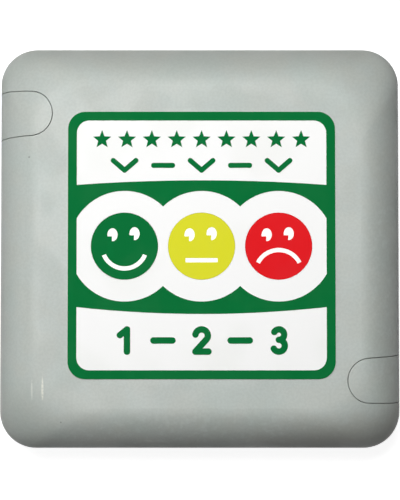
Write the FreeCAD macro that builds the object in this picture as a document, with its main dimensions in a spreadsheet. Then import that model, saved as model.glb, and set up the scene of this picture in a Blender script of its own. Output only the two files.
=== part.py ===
"""Customer feedback terminal, a battery powered box with three opinion keys.

All sizes are in millimetres.  The terminal lies on its back: +Z points out of the front,
+Y is up on the label and +X is to its right.  The origin lies under the middle of the
case, at the level of the undersides of the rubber feet.
"""
import FreeCAD
import Part

import math
import os
import re

import Sketcher
from FreeCAD import Placement, Rotation, Vector

# Driving dimensions: the alias in the sheet, the value and what it is.
SIZES = [
    # Case
    ("case_width", 150.0, "case, outside, along X"),
    ("case_length", 150.0, "case, outside, along Y"),
    ("corner_radius", 13.5, "case corners, seen from the front"),
    ("edge_run", 16.3, "how far the round between front and sides runs in from the sides"),
    ("rim_height", 3.0, "straight part of the cover's sides, above the split line"),
    ("front_corner_radius", 20.0, "corners of the flat part of the front"),
    ("back_edge_radius", 3.0, "round between the back and the sides"),
    ("base_height", 14.0, "rear base, from its back to the split line"),
    ("cover_height", 24.0, "front cover, from the split line to the front"),
    ("side_wall", 2.5, "side walls of both case halves"),
    ("front_wall", 2.5, "front wall of the cover"),
    ("floor_wall", 2.5, "back wall of the base"),
    ("split_chamfer", 0.4, "chamfer that makes the shadow line at the split"),
    ("lip_thickness", 1.1, "lip on the base that enters the cover"),
    ("lip_height", 2.0, "lip, above the split line"),
    ("lip_clearance", 0.15, "gap between the lip and its groove"),
    # Screw flaps
    ("flap_reach", 21.2, "flap, from the side of the case to the tip of its nose"),
    ("flap_width", 16.15, "flap, along Y, at its nose"),
    ("flap_flare_angle", 2.5, "how far each long edge of a flap turns outwards, in degrees"),
    ("flap_overrun", 5.0, "how far the outline of a flap is drawn past the side of the case"),
    ("flap_from_end", 26.3, "flap centre line, from the nearest end of the case"),
    ("flap_thickness", 2.0, "flap shell"),
    ("flap_gap", 0.25, "seam round the flap and air behind it"),
    ("recess_wall", 2.0, "wall of the cover behind the flap"),
    ("recess_border", 1.5, "how far that wall reaches past the seam"),
    ("peg_diameter", 2.4, "pegs under the nose of a flap"),
    ("peg_spacing", 7.6, "between the two pegs of a flap"),
    ("peg_inset", 3.8, "pegs, from the tip of the nose"),
    ("peg_length", 3.6, "pegs, below the flap shell"),
    ("peg_clearance", 0.1, "gap round a peg"),
    ("tab_thickness", 1.0, "tab at the lower edge of a flap"),
    ("tab_width", 8.0, "tab, along Y"),
    ("tab_depth", 1.5, "tab, below the split line"),
    ("tab_inset", 0.8, "tab, from the outside of the case"),
    ("tab_clearance", 0.15, "gap round the tab"),
    # Case screws and locating posts
    ("screw_inset", 10.5, "case screws and posts, from the side of the case"),
    ("screw_head_diameter", 5.6, "case screw, head"),
    ("screw_head_height", 2.2, "case screw, head"),
    ("cross_length", 3.4, "cross slot in a case screw"),
    ("cross_width", 0.8, "cross slot in a case screw"),
    ("screw_length", 12.0, "case screw, below its head"),
    ("screw_seat", 2.5, "plastic between the screw head and the base's boss"),
    ("screw_clearance", 0.4, "gap round the screw thread in the cover"),
    ("head_clearance", 0.5, "gap round the screw head in its tube"),
    ("screw_pilot", 2.6, "case screw's core, and the bore for it in the base's boss"),
    ("pilot_reserve", 1.0, "bores of the bosses, past the end of their screw"),
    ("tube_wall", 1.8, "wall of the tubes and bosses"),
    ("boss_rise", 2.0, "bosses of the base, above the split line"),
    ("post_diameter", 6.0, "locating post"),
    ("post_rise", 8.0, "locating post, above the split line"),
    ("post_clearance", 0.1, "gap round and above a locating post"),
    # Feet, wall holes and the field for a rating plate
    ("foot_diameter", 12.0, "rubber foot"),
    ("foot_height", 1.5, "rubber foot, below the base"),
    ("foot_seat", 0.6, "rubber foot, sunk into the base"),
    ("foot_round", 0.6, "rubber foot, round of its lower edge"),
    ("foot_inset", 17.0, "rubber foot, from the two nearest sides"),
    ("wall_hole", 4.5, "holes for screws into a wall"),
    ("wall_hole_span_x", 90.0, "between the wall holes along X"),
    ("wall_hole_span_y", 110.0, "between the wall holes along Y"),
    ("wall_ring_width", 2.0, "raised ring round each wall hole"),
    ("wall_ring_height", 1.0, "raised ring, above the floor"),
    ("plate_field_width", 60.0, "blank sunk field on the back, along X"),
    ("plate_field_length", 30.0, "blank sunk field on the back, along Y"),
    ("plate_field_depth", 0.4, "blank sunk field on the back"),
    ("plate_field_corner", 2.0, "blank sunk field on the back, corner radius"),
    # Label
    ("panel_x", 0.67, "label centre, to the right of the case centre"),
    ("panel_y", 0.53, "label centre, above the case centre"),
    ("film_size", 97.15, "label film, both ways"),
    ("film_corner", 6.3, "label film, corner radius"),
    ("film_thickness", 0.3, "label film"),
    ("print_thickness", 0.1, "ink layer"),
    ("frame_stroke", 3.2, "green frame round the label"),
    ("frame_inner_corner", 4.55, "corner radius inside the green frame"),
    ("band_top", 21.9, "top of the green band where it meets the frame"),
    ("band_top_rise", 1.65, "how much higher that edge is in the middle"),
    ("band_bottom", 22.5, "bottom of the green band where it meets the frame"),
    ("band_bottom_drop", 2.5, "how much lower that edge is in the middle"),
    ("lobe_radius", 20.1, "white circles round the keys"),
    ("star_radius", 3.45, "stars in the upper field, to their points"),
    ("star_waist", 1.5, "stars in the upper field, to their inner corners"),
    ("star_pitch", 9.05, "between the stars"),
    ("star_y", 38.4, "row of stars, above the label centre"),
    ("chevron_width", 8.25, "chevrons, along the middle of their stroke"),
    ("chevron_depth", 3.55, "chevrons, along the middle of their stroke"),
    ("chevron_y", 29.0, "row of chevrons, above the label centre"),
    ("chevron_stroke", 1.85, "stroke of the chevrons and the dashes between them"),
    ("digit_height", 8.05, "digits, along the middle of their stroke"),
    ("digit_y", 34.6, "row of digits, below the label centre"),
    ("digit_stroke", 2.35, "stroke of the digits and the dashes between them"),
    ("dash_length", 6.9, "dashes, along the middle of their stroke"),
    # Keys and their printed faces
    ("key_pitch", 28.0, "between the keys"),
    ("key_drop", 0.4, "row of keys, below the label centre"),
    ("key_diameter", 24.3, "key"),
    ("key_gap", 0.15, "gap round a key in the front wall"),
    ("film_gap", 0.08, "gap round a key in the film"),
    ("key_travel", 0.5, "how far a key goes down"),
    ("key_crown", 1.6, "thickness of the top of a key"),
    ("key_skirt", 1.6, "thickness of the side of a key"),
    ("key_stem_diameter", 8.0, "stem under a key"),
    ("flange_diameter", 26.1, "flange that holds a key behind the front"),
    ("flange_thickness", 1.2, "flange"),
    ("guide_clearance", 0.15, "gap between the flange and its collar"),
    ("collar_wall", 1.2, "collar behind the front that guides the flange"),
    ("collar_margin", 1.4, "collar, past the flange of a pressed key"),
    ("eye_width", 3.7, "eye of a face"),
    ("eye_height", 4.7, "eye of a face"),
    ("pupil_x", 0.2, "corner of the pupil, left of the eye centre"),
    ("pupil_y", 0.6, "corner of the pupil, below the eye centre"),
    ("left_eye_x", 4.35, "left eye, left of the face centre"),
    ("left_eye_y", 4.15, "left eye, above the face centre"),
    ("right_eye_x", 3.65, "right eye, right of the face centre"),
    ("right_eye_y", 4.55, "right eye, above the face centre"),
    ("mouth_stroke", 1.55, "mouth"),
    ("smile_radius", 8.1, "smile, middle of its stroke"),
    ("smile_angle", 134.0, "smile, in degrees"),
    ("bar_mouth_width", 11.7, "straight mouth"),
    ("bar_mouth_drop", 5.1, "straight mouth, below the face centre"),
    ("frown_radius", 8.45, "frown, middle of its stroke"),
    ("frown_angle", 126.0, "frown, in degrees"),
    ("frown_drop", 9.85, "centre of the frown's arc, below the face centre"),
    # Tactile switches
    ("switch_width", 12.0, "switch housing, both ways"),
    ("switch_body_height", 3.5, "switch housing"),
    ("switch_height", 5.0, "switch, from the board to the top of its plunger"),
    ("switch_floor", 0.6, "bottom of the housing"),
    ("switch_roof", 0.7, "top of the housing"),
    ("switch_cavity_diameter", 9.6, "space inside the housing"),
    ("plunger_diameter", 7.0, "plunger"),
    ("plunger_clearance", 0.08, "gap round the plunger"),
    ("plunger_play", 0.1, "gap between the plunger's flange and the roof"),
    ("plunger_flange_diameter", 8.6, "plunger's flange"),
    ("plunger_flange_thickness", 1.0, "plunger's flange"),
    ("dome_diameter", 8.2, "snap dome"),
    ("dome_sheet", 0.15, "snap dome's sheet"),
    ("pin_width", 1.0, "switch pins"),
    ("pin_thickness", 0.4, "switch pins"),
    ("pin_pitch", 5.0, "between two pins on one side of a switch"),
    ("pin_protrusion", 1.2, "pins, below the board"),
    # Circuit board and what is on it
    ("board_width", 96.0, "circuit board, along X"),
    ("board_length", 56.0, "circuit board, along Y"),
    ("board_thickness", 1.6, "circuit board"),
    ("board_corner", 2.0, "circuit board, corner radius"),
    ("board_hole", 3.0, "screw holes of the circuit board"),
    ("board_hole_inset", 5.0, "screw holes, from the board's edges"),
    ("board_boss_length", 7.3, "bosses between the front wall and the board"),
    ("board_boss_diameter", 6.5, "bosses"),
    ("board_screw_pilot", 2.1, "board screw's core, and the bore for it in the bosses"),
    ("board_screw_head_diameter", 4.8, "board screw, head"),
    ("board_screw_head_height", 1.8, "board screw, head"),
    ("board_screw_length", 7.0, "board screw, below its head"),
    ("chip_width", 10.0, "controller, both ways"),
    ("chip_height", 1.4, "controller"),
    ("chip_y", 16.0, "controller, above the middle of the board"),
    ("radio_width", 18.0, "radio module, along X"),
    ("radio_length", 14.0, "radio module, along Y"),
    ("radio_height", 2.6, "radio module"),
    ("radio_x", 31.0, "radio module, right of the middle of the board"),
    ("radio_y", 15.0, "radio module, above the middle of the board"),
    ("antenna_diameter", 0.8, "antenna wire"),
    ("antenna_reach", 26.0, "antenna wire, along X"),
    ("antenna_drop", 3.4, "antenna wire, below the radio module"),
    ("antenna_bend", 2.0, "antenna wire, bend radius"),
    ("antenna_x", 5.0, "antenna wire's root, right of the middle of the module"),
    ("antenna_y", 4.0, "antenna wire's root, above the middle of the module"),
    ("buzzer_diameter", 12.0, "sounder"),
    ("buzzer_height", 5.0, "sounder"),
    ("buzzer_port", 2.0, "hole of the sounder"),
    ("buzzer_x", 28.0, "sounder, left of the middle of the board"),
    ("buzzer_y", 17.0, "sounder, above the middle of the board"),
    ("capacitor_diameter", 8.0, "capacitor"),
    ("capacitor_height", 10.5, "capacitor"),
    ("capacitor_x", 40.0, "capacitor, right of the middle of the board"),
    ("capacitor_y", 12.0, "capacitor, below the middle of the board"),
    ("header_pitch", 2.54, "between the pins of the header"),
    ("header_length", 2.5, "header, along Y"),
    ("header_height", 2.5, "header, its plastic"),
    ("header_pin", 0.64, "header pins"),
    ("header_pin_length", 3.0, "header pins, past their plastic"),
    ("header_y", 19.0, "header, below the middle of the board"),
    # Battery lead
    ("socket_width", 7.5, "battery socket, along Y"),
    ("socket_length", 6.0, "battery socket, along X"),
    ("socket_height", 6.0, "battery socket"),
    ("socket_wall", 0.8, "battery socket"),
    ("socket_x", 42.0, "battery socket, left of the middle of the board"),
    ("plug_clearance", 0.1, "gap round the plug"),
    ("plug_protrusion", 1.5, "plug, out of its socket"),
    ("lead_diameter", 1.3, "battery leads"),
    ("lead_spacing", 2.5, "between the leads at the plug"),
    ("lead_bend", 3.0, "battery leads, bend radius"),
    # Battery holder and cells
    ("cell_diameter", 14.2, "battery cell"),
    ("cell_length", 49.2, "battery cell, without its nub"),
    ("cell_nub_diameter", 5.2, "nub of a cell"),
    ("cell_nub_length", 1.3, "nub of a cell"),
    ("cell_pitch", 15.6, "between the cells"),
    ("cell_clearance", 0.1, "gap under a cell"),
    ("holder_wall", 1.4, "walls of the battery holder"),
    ("holder_floor", 1.2, "floor of the battery holder"),
    ("holder_height", 12.0, "walls of the battery holder"),
    ("rib_length", 40.0, "rib between the cells"),
    ("rib_thickness", 1.0, "rib between the cells"),
    ("rib_height", 5.0, "rib between the cells"),
    ("contact_space", 2.6, "room for a contact at each end of a cell"),
    ("contact_sheet", 0.4, "contact plates"),
    ("contact_width", 9.0, "contact plates, along Y"),
    ("contact_button", 5.0, "raised button of a contact"),
    ("tape_width", 50.0, "foam tape under the holder, along X"),
    ("tape_length", 26.0, "foam tape under the holder, along Y"),
    ("tape_thickness", 0.8, "foam tape under the holder"),
]

# Counts
EDGE_STEPS = 6  # steps in which the round between front and sides is drawn
STARS_EACH_SIDE = 4  # stars on each side of the middle one
STAR_POINTS = 5
HEADER_PINS = 5

# Names worked out from the sizes above, each written once and used in the expressions below.
DERIVED = {
    # Heights
    "floor_z": "foot_height + floor_wall",
    "split_z": "foot_height + base_height",
    "front_z": "split_z + cover_height",
    "skin_z": "front_z - front_wall",
    "rim_z": "split_z + rim_height",
    "film_z": "front_z + film_thickness",
    "print_z": "film_z + print_thickness",
    "boss_top_z": "split_z + boss_rise",
    "head_z": "boss_top_z + screw_seat",
    "pilot_end_z": "head_z - screw_length - pilot_reserve",
    "board_z": "skin_z - board_boss_length",
    "board_under_z": "board_z - board_thickness",
    "plunger_z": "board_z + switch_height",
    "switch_floor_z": "board_z + switch_floor",
    "switch_roof_z": "board_z + switch_body_height - switch_roof",
    "plunger_flange_z": "switch_roof_z - plunger_play - plunger_flange_thickness",
    "dome_height": "plunger_flange_z - switch_floor_z",
    "radio_under_z": "board_under_z - radio_height",
    "plug_end_z": "board_under_z - socket_height - plug_protrusion",
    "holder_z": "floor_z + tape_thickness",
    "tray_z": "holder_z + holder_floor",
    "cell_z": "tray_z + cell_clearance + cell_diameter / 2",
    "lead_z": "holder_z + holder_height + lead_diameter / 2",
    # Radii
    "flap_half": "flap_width / 2",
    "recess_depth": "flap_thickness + flap_gap",
    "head_bore": "screw_head_diameter / 2 + head_clearance",
    "key_window": "key_diameter / 2 + key_gap",
    "collar_bore": "flange_diameter / 2 + guide_clearance",
    "switch_cavity": "switch_cavity_diameter / 2",
    # Places, measured from the middle of the case
    "screw_x": "case_width / 2 - screw_inset",
    "flap_y": "case_length / 2 - flap_from_end",
    "flap_nose_x": "case_width / 2 - flap_reach + flap_half",
    "peg_x": "case_width / 2 - flap_reach + peg_inset",
    "tab_x": "case_width / 2 - tab_inset - tab_thickness / 2",
    "foot_x": "case_width / 2 - foot_inset",
    "foot_y": "case_length / 2 - foot_inset",
    "board_hole_x": "board_width / 2 - board_hole_inset",
    "board_hole_y": "board_length / 2 - board_hole_inset",
    "holder_width": "cell_length + cell_nub_length + 2 * (contact_space + holder_wall)",
    "holder_length": "2 * (cell_pitch / 2 + cell_diameter / 2 + cell_clearance + holder_wall)",
    "contact_x": "holder_width / 2 - holder_wall - contact_sheet / 2",
    "header_width": f"{HEADER_PINS} * header_pitch",
    # Label
    "frame_inner_size": "film_size - 2 * frame_stroke",
    "frame_inner_half": "frame_inner_size / 2",
    "band_top_arc": "(frame_inner_half ^ 2 + band_top_rise ^ 2) / (2 * band_top_rise)",
    "band_bottom_arc": "(frame_inner_half ^ 2 + band_bottom_drop ^ 2) / (2 * band_bottom_drop)",
    "dome_arc": "((dome_diameter / 2) ^ 2 + dome_height ^ 2) / (2 * dome_height)",
}

ALIASES = {alias for alias, _, _ in SIZES}
EDGE_TOLERANCE = 1e-6

# The two flaps and screws lie on one diagonal, the two locating posts on the other.
FLAPS = {"upper_left": (-1, 1), "lower_right": (1, -1)}
POSTS = {"upper_right": (1, 1), "lower_left": (-1, -1)}
SWITCH_PINS = [(-1, -1), (-1, 1), (1, -1), (1, 1)]
CORNERS = {**FLAPS, **POSTS}
KEYS = {"happy": -1, "neutral": 0, "sad": 1}

doc = FreeCAD.newDocument("feedback_terminal")
sheet = doc.addObject("Spreadsheet::Sheet", "sizes")
pieces = []


def fill_sheet():
    """Writes the driving dimensions into the sheet, one row each."""
    for row, (alias, value, meaning) in enumerate(SIZES, start=1):
        sheet.set(f"A{row}", meaning)
        sheet.set(f"B{row}", str(value))
        sheet.setAlias(f"B{row}", alias)
    doc.recompute()


def spell(text):
    """Writes out derived names and puts the sheet's name before each alias."""

    def swap(match):
        word = match.group(0)
        if word in DERIVED:
            return f"({spell(DERIVED[word])})"
        return f"sizes.{word}" if word in ALIASES else word

    return re.sub(r"[A-Za-z_]\w*", swap, str(text))


def measure(text):
    """The value of an expression, for the shapes that are made without a feature."""
    return float(sheet.evalExpression(spell(text)))


def bind(item, **expressions):
    """Binds properties of an object to expressions over the sheet."""
    for path, text in expressions.items():
        item.setExpression(path, spell(text))
    return item


def place(item, x, y, z, rotation=None):
    """Gives an object its place by expressions and its rotation by value."""
    if rotation is not None:
        item.Placement = Placement(Vector(), rotation)
    for axis, text in zip("xyz", (x, y, z)):
        item.setExpression(f"Placement.Base.{axis}", spell(text))
    return item


def keep(label, item):
    """Names a finished piece and puts it on the list of pieces to write."""
    item.Label = label
    pieces.append(item)
    return item


# ------------------------------------------------------------------ primitives and booleans


def box(name, centre, size):
    """A block centred on X and Y, standing on its Z."""
    x, y, z = centre
    width, length, height = size
    item = doc.addObject("Part::Box", name)
    bind(item, Length=width, Width=length, Height=height)
    return place(item, f"{x} - ({width}) / 2", f"{y} - ({length}) / 2", z)


def rod(name, centre, radius, height):
    """An upright cylinder standing on its centre."""
    item = doc.addObject("Part::Cylinder", name)
    bind(item, Radius=radius, Height=height)
    return place(item, *centre)


def rod_along_x(name, start, radius, length):
    """A cylinder that runs along +X from its start."""
    item = doc.addObject("Part::Cylinder", name)
    bind(item, Radius=radius, Height=length)
    return place(item, *start, Rotation(Vector(0, 1, 0), 90))


def fuse(name, items):
    """Joins objects into one."""
    item = doc.addObject("Part::MultiFuse", name)
    item.Shapes = items
    item.Refine = True
    return item


def common(name, items):
    """What objects have in common."""
    item = doc.addObject("Part::MultiCommon", name)
    item.Shapes = items
    item.Refine = True
    return item


def cut(name, base, tools):
    """Takes one or more tools away from a base."""
    item = doc.addObject("Part::Cut", name)
    item.Base = base
    item.Tool = tools[0] if len(tools) == 1 else fuse(f"{name}_tools", tools)
    item.Refine = True
    return item


# ------------------------------------------------------------------ sketched bodies


def new_sketch(body, name, z):
    """A sketch on the body's own XY plane, lifted to a height."""
    plane = next(item for item in body.Origin.OriginFeatures if item.Role == "XY_Plane")
    sketch = body.newObject("Sketcher::SketchObject", name)
    sketch.AttachmentSupport = [(plane, "")]
    sketch.MapMode = "FlatFace"
    sketch.setExpression("AttachmentOffset.Base.z", spell(z))
    return sketch


def constrain(sketch, kind, *references, to=None):
    """Adds a constraint and binds its value where it has one."""
    if to is None:
        return sketch.addConstraint(Sketcher.Constraint(kind, *references))
    index = sketch.addConstraint(Sketcher.Constraint(kind, *references, measure(to)))
    sketch.setExpression(f"Constraints[{index}]", spell(to))
    return index


def draw_rounded_rectangle(sketch, centre, width, length, radius):
    """Four lines and four arcs, fully constrained, round a centre."""
    x, y = (measure(text) for text in centre)
    half_x, half_y, round_off = measure(width) / 2, measure(length) / 2, measure(radius)
    flat_x, flat_y = half_x - round_off, half_y - round_off
    corners = [(1, 1, 0), (-1, 1, 90), (-1, -1, 180), (1, -1, 270)]
    arcs = []
    for side_x, side_y, start in corners:
        middle = Vector(x + side_x * flat_x, y + side_y * flat_y, 0)
        circle = Part.Circle(middle, Vector(0, 0, 1), round_off)
        turn = math.radians(start)
        arcs.append(sketch.addGeometry(Part.ArcOfCircle(circle, turn, turn + math.pi / 2)))
    lines = []
    for arc, following in zip(arcs, arcs[1:] + arcs[:1]):
        start = sketch.getPoint(arc, 2)
        end = sketch.getPoint(following, 1)
        lines.append(sketch.addGeometry(Part.LineSegment(start, end)))
    for arc, line, following in zip(arcs, lines, arcs[1:] + arcs[:1]):
        constrain(sketch, "Tangent", arc, 2, line, 1)
        constrain(sketch, "Tangent", line, 2, following, 1)
    for line, direction in zip(lines, ("Horizontal", "Vertical") * 2):
        constrain(sketch, direction, line)
    for arc in arcs[1:]:
        constrain(sketch, "Equal", arcs[0], arc)
    constrain(sketch, "Radius", arcs[0], to=radius)
    constrain(sketch, "DistanceX", arcs[1], 3, arcs[0], 3, to=f"{width} - 2 * ({radius})")
    constrain(sketch, "DistanceY", arcs[3], 3, arcs[0], 3, to=f"{length} - 2 * ({radius})")
    constrain(sketch, "DistanceX", -1, 1, arcs[0], 3, to=f"{centre[0]} + ({width}) / 2 - ({radius})")
    constrain(sketch, "DistanceY", -1, 1, arcs[0], 3, to=f"{centre[1]} + ({length}) / 2 - ({radius})")


def edges_at(shape, z):
    """The names of a shape's edges that lie at one height."""
    return [
        f"Edge{number}"
        for number, edge in enumerate(shape.Edges, start=1)
        if abs(edge.BoundBox.ZMin - z) < EDGE_TOLERANCE and abs(edge.BoundBox.ZMax - z) < EDGE_TOLERANCE
    ]


def rounded_block(name, centre, size, radius, finish=None):
    """A padded rounded rectangle, with the edges at one end rounded or chamfered.

    centre is (x, y, z of the underside), size is (width, length, height), and finish is a
    list of (feature kind, z of the edges, size of the round or chamfer).
    """
    x, y, z = centre
    width, length, height = size
    body = doc.addObject("PartDesign::Body", name)
    sketch = new_sketch(body, f"{name}_outline", z)
    draw_rounded_rectangle(sketch, (x, y), width, length, radius)
    pad = body.newObject("PartDesign::Pad", f"{name}_pad")
    pad.Profile = sketch
    bind(pad, Length=height)
    doc.recompute()
    last = pad
    for kind, edge_z, amount in finish or []:
        feature = body.newObject(f"PartDesign::{kind}", f"{name}_{kind.lower()}")
        feature.Base = (last, edges_at(last.Shape, measure(edge_z)))
        bind(feature, **{"Radius" if kind == "Fillet" else "Size": amount})
        doc.recompute()
        last = feature
    return body


def case_block(name, inset, top):
    """The outer form of the cover from the split line up, made smaller all round by an inset.

    Its sides rise straight for the height of the rim, and then lean in to the flat front
    along a quarter of an ellipse.  Its corners grow rounder on the way.
    """
    rim = rounded_block(
        f"{name}_rim",
        ("0", "0", "split_z"),
        (f"case_width - 2 * ({inset})", f"case_length - 2 * ({inset})", "rim_height"),
        f"corner_radius - ({inset})",
    )
    outlines = []
    for step in range(EDGE_STEPS + 1):
        angle = f"{90 * step / EDGE_STEPS} deg"
        lean = f"(edge_run * (1 - cos({angle})) + ({inset}) * cos({angle}))"
        outline = doc.addObject("Sketcher::SketchObject", f"{name}_outline_{step}")
        outline.setExpression("Placement.Base.z", spell(f"rim_z + ({top} - rim_z) * sin({angle})"))
        draw_rounded_rectangle(
            outline,
            ("0", "0"),
            f"case_width - 2 * {lean}",
            f"case_length - 2 * {lean}",
            f"corner_radius + (front_corner_radius - corner_radius) * (1 - cos({angle}))"
            f" - ({inset}) * cos({angle})",
        )
        outlines.append(outline)
    crown = doc.addObject("Part::Loft", f"{name}_crown")
    crown.Sections = outlines
    crown.Solid = True
    return fuse(name, [rim, crown])


def flap_column(name, side, grow, bottom, top):
    """An upright column with the outline of a flap, larger all round by an amount.

    The outline is a round nose and two long edges that leave it as tangents, a little
    further apart at the side of the case.
    """
    side_x, side_y = side
    radius = f"(flap_half + {grow})"
    height = f"{top} - ({bottom})"
    nose_spot = (f"{side_x} * flap_nose_x", f"{side_y} * flap_y", bottom)
    nose = rod(f"{name}_nose", nose_spot, radius, height)
    tangent_x = f"(flap_nose_x - {radius} * sin(flap_flare_angle * 1 deg))"
    reach = f"(case_width / 2 + flap_overrun - {tangent_x})"
    near = f"({radius} * cos(flap_flare_angle * 1 deg))"
    far = f"({near} + {reach} * tan(flap_flare_angle * 1 deg))"
    stem = doc.addObject("Part::Wedge", f"{name}_stem")
    bind(stem, Xmin=f"-{near}", Xmax=near, X2min=f"-{far}", X2max=far)
    bind(stem, Ymin="0", Ymax=reach, Zmin="0", Zmax=height, Z2min="0", Z2max=height)
    stem_spot = (f"{side_x} * {tangent_x}", f"{side_y} * flap_y", bottom)
    place(stem, *stem_spot, Rotation(Vector(0, 0, 1), -90 * side_x))
    return fuse(name, [nose, stem])


# ------------------------------------------------------------------ case


def screw_place(side, z):
    """Where a case screw or a locating post stands."""
    side_x, side_y = side
    return (f"{side_x} * screw_x", f"{side_y} * flap_y", z)


def foot_place(side, z):
    """Where a rubber foot stands."""
    side_x, side_y = side
    return (f"{side_x} * foot_x", f"{side_y} * foot_y", z)


def key_place(name, z):
    """Where a key stands."""
    return (f"panel_x + {KEYS[name]} * key_pitch", "panel_y - key_drop", z)


def board_hole_places(z):
    """The four screw places of the circuit board, by corner."""
    return {
        corner: (f"panel_x + {x} * board_hole_x", f"panel_y + {y} * board_hole_y", z)
        for corner, (x, y) in CORNERS.items()
    }


def peg_places(side, z):
    """The two pegs under the nose of a flap."""
    side_x, side_y = side
    return [
        (f"{side_x} * peg_x", f"{side_y} * flap_y + {way} * peg_spacing / 2", z)
        for way in (-1, 1)
    ]


def tab_block(name, side, clearance):
    """The tab at the lower edge of a flap, or with a clearance the slot for it."""
    side_x, side_y = side
    return box(
        name,
        (f"{side_x} * tab_x", f"{side_y} * flap_y", f"split_z - tab_depth - {clearance}"),
        (
            f"tab_thickness + 2 * {clearance}",
            f"tab_width + 2 * {clearance}",
            f"2 * tab_depth + {clearance}",
        ),
    )


def cover_shell(outer):
    """The cover's outer form, hollowed out and with a groove for the base's lip."""
    cavity = case_block("cover_cavity", "side_wall", "skin_z")
    groove_inset = "(side_wall - lip_thickness - lip_clearance)"
    groove = rounded_block(
        "cover_groove",
        ("0", "0", "split_z"),
        (
            f"case_width - 2 * {groove_inset}",
            f"case_length - 2 * {groove_inset}",
            "lip_height + lip_clearance",
        ),
        f"corner_radius - {groove_inset}",
    )
    return cut("cover_shell", outer, [cavity, groove])


def cover_recesses(outer):
    """Walls to add behind the flaps, and the recesses to take away in front of them."""
    recess_floor = case_block("recess_floor", "recess_depth", "front_z - recess_depth")
    inside_inset = "(recess_depth + recess_wall)"
    recess_inside = case_block("recess_inside", inside_inset, f"front_z - {inside_inset}")
    backing = cut("recess_backing", recess_floor, [recess_inside])
    skin = cut("recess_skin", outer, [recess_floor])
    added = []
    removed = []
    for corner, side in FLAPS.items():
        border = flap_column(f"{corner}_border", side, "flap_gap + recess_border", "split_z", "front_z")
        added.append(common(f"{corner}_backing", [backing, border]))
        seam = flap_column(f"{corner}_seam", side, "flap_gap", "split_z", "front_z")
        removed.append(common(f"{corner}_recess", [skin, seam]))
        for number, spot in enumerate(peg_places(side, "skin_z - recess_depth"), start=1):
            bore = "peg_diameter / 2 + peg_clearance"
            removed.append(rod(f"{corner}_peg_bore_{number}", spot, bore, "front_wall + recess_depth"))
    return added, removed


def cover_screw_tube(corner, side, outer):
    """The tube to add round a case screw, and its two bores to take away."""
    tube = rod(
        f"{corner}_tube",
        screw_place(side, "boss_top_z"),
        "head_bore + tube_wall",
        "front_z - boss_top_z",
    )
    head = rod(f"{corner}_head_bore", screw_place(side, "head_z"), "head_bore", "front_z - head_z")
    thread = rod(
        f"{corner}_screw_bore",
        screw_place(side, "boss_top_z"),
        "screw_pilot / 2 + screw_clearance",
        "screw_seat",
    )
    return [common(f"{corner}_tube_inside", [tube, outer])], [head, thread]


def cover_post_socket(corner, side, outer):
    """The socket to add for a locating post, and its bore to take away."""
    bore = "post_diameter / 2 + post_clearance"
    socket = rod(
        f"{corner}_socket",
        screw_place(side, "boss_top_z"),
        f"{bore} + tube_wall",
        "front_z - boss_top_z",
    )
    hole = rod(
        f"{corner}_socket_bore",
        screw_place(side, "boss_top_z"),
        bore,
        "post_rise - boss_rise + post_clearance",
    )
    return [common(f"{corner}_socket_inside", [socket, outer])], [hole]


def cover_key_guide(name):
    """The collar to add behind a key, and its bore and the key's window to take away."""
    depth = "flange_thickness + key_travel + collar_margin"
    low = key_place(name, f"skin_z - ({depth})")
    collar = rod(f"{name}_collar", low, "collar_bore + collar_wall", depth)
    bore = rod(f"{name}_collar_bore", low, "collar_bore", depth)
    window = rod(f"{name}_window", key_place(name, "skin_z"), "key_window", "front_wall")
    return [collar], [bore, window]


def cover_board_boss(corner, spot):
    """The boss to add for a board screw, and its pilot hole to take away."""
    boss = rod(f"{corner}_board_boss", spot, "board_boss_diameter / 2", "board_boss_length")
    pilot = rod(
        f"{corner}_board_pilot",
        spot,
        "board_screw_pilot / 2",
        "board_screw_length - board_thickness + pilot_reserve",
    )
    return [boss], [pilot]


def make_front_cover():
    """The front half of the case, with all that is moulded on its inside."""
    outer = case_block("cover_outer", "0", "front_z")
    details = [cover_recesses(outer)]
    details += [cover_screw_tube(corner, side, outer) for corner, side in FLAPS.items()]
    details += [cover_post_socket(corner, side, outer) for corner, side in POSTS.items()]
    details += [cover_key_guide(name) for name in KEYS]
    details += [cover_board_boss(*place) for place in board_hole_places("board_z").items()]
    added = [item for solids, _ in details for item in solids]
    removed = [item for _, holes in details for item in holes]
    keep("front_cover", cut("cover", fuse("cover_solid", [cover_shell(outer), *added]), removed))


def base_tray():
    """The tray of the base, with the lip that enters the cover between the flaps."""
    outer = rounded_block(
        "base_outer",
        ("0", "0", "foot_height"),
        ("case_width", "case_length", "base_height"),
        "corner_radius",
        [("Fillet", "foot_height", "back_edge_radius"), ("Chamfer", "split_z", "split_chamfer")],
    )
    hollow = rounded_block(
        "base_hollow",
        ("0", "0", "floor_z"),
        (
            "case_width - 2 * side_wall",
            "case_length - 2 * side_wall",
            "split_z + lip_height - floor_z",
        ),
        "corner_radius - side_wall",
    )
    lip_inset = "(side_wall - lip_thickness)"
    lip = rounded_block(
        "base_lip",
        ("0", "0", "split_z"),
        (f"case_width - 2 * {lip_inset}", f"case_length - 2 * {lip_inset}", "lip_height"),
        f"corner_radius - {lip_inset}",
    )
    lip_breaks = [
        flap_column(
            f"{corner}_lip_break",
            side,
            "flap_gap + recess_border + lip_clearance",
            "split_z",
            "split_z + lip_height",
        )
        for corner, side in FLAPS.items()
    ]
    return cut("base_tray", fuse("base_with_lip", [outer, cut("broken_lip", lip, lip_breaks)]), [hollow])


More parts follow.
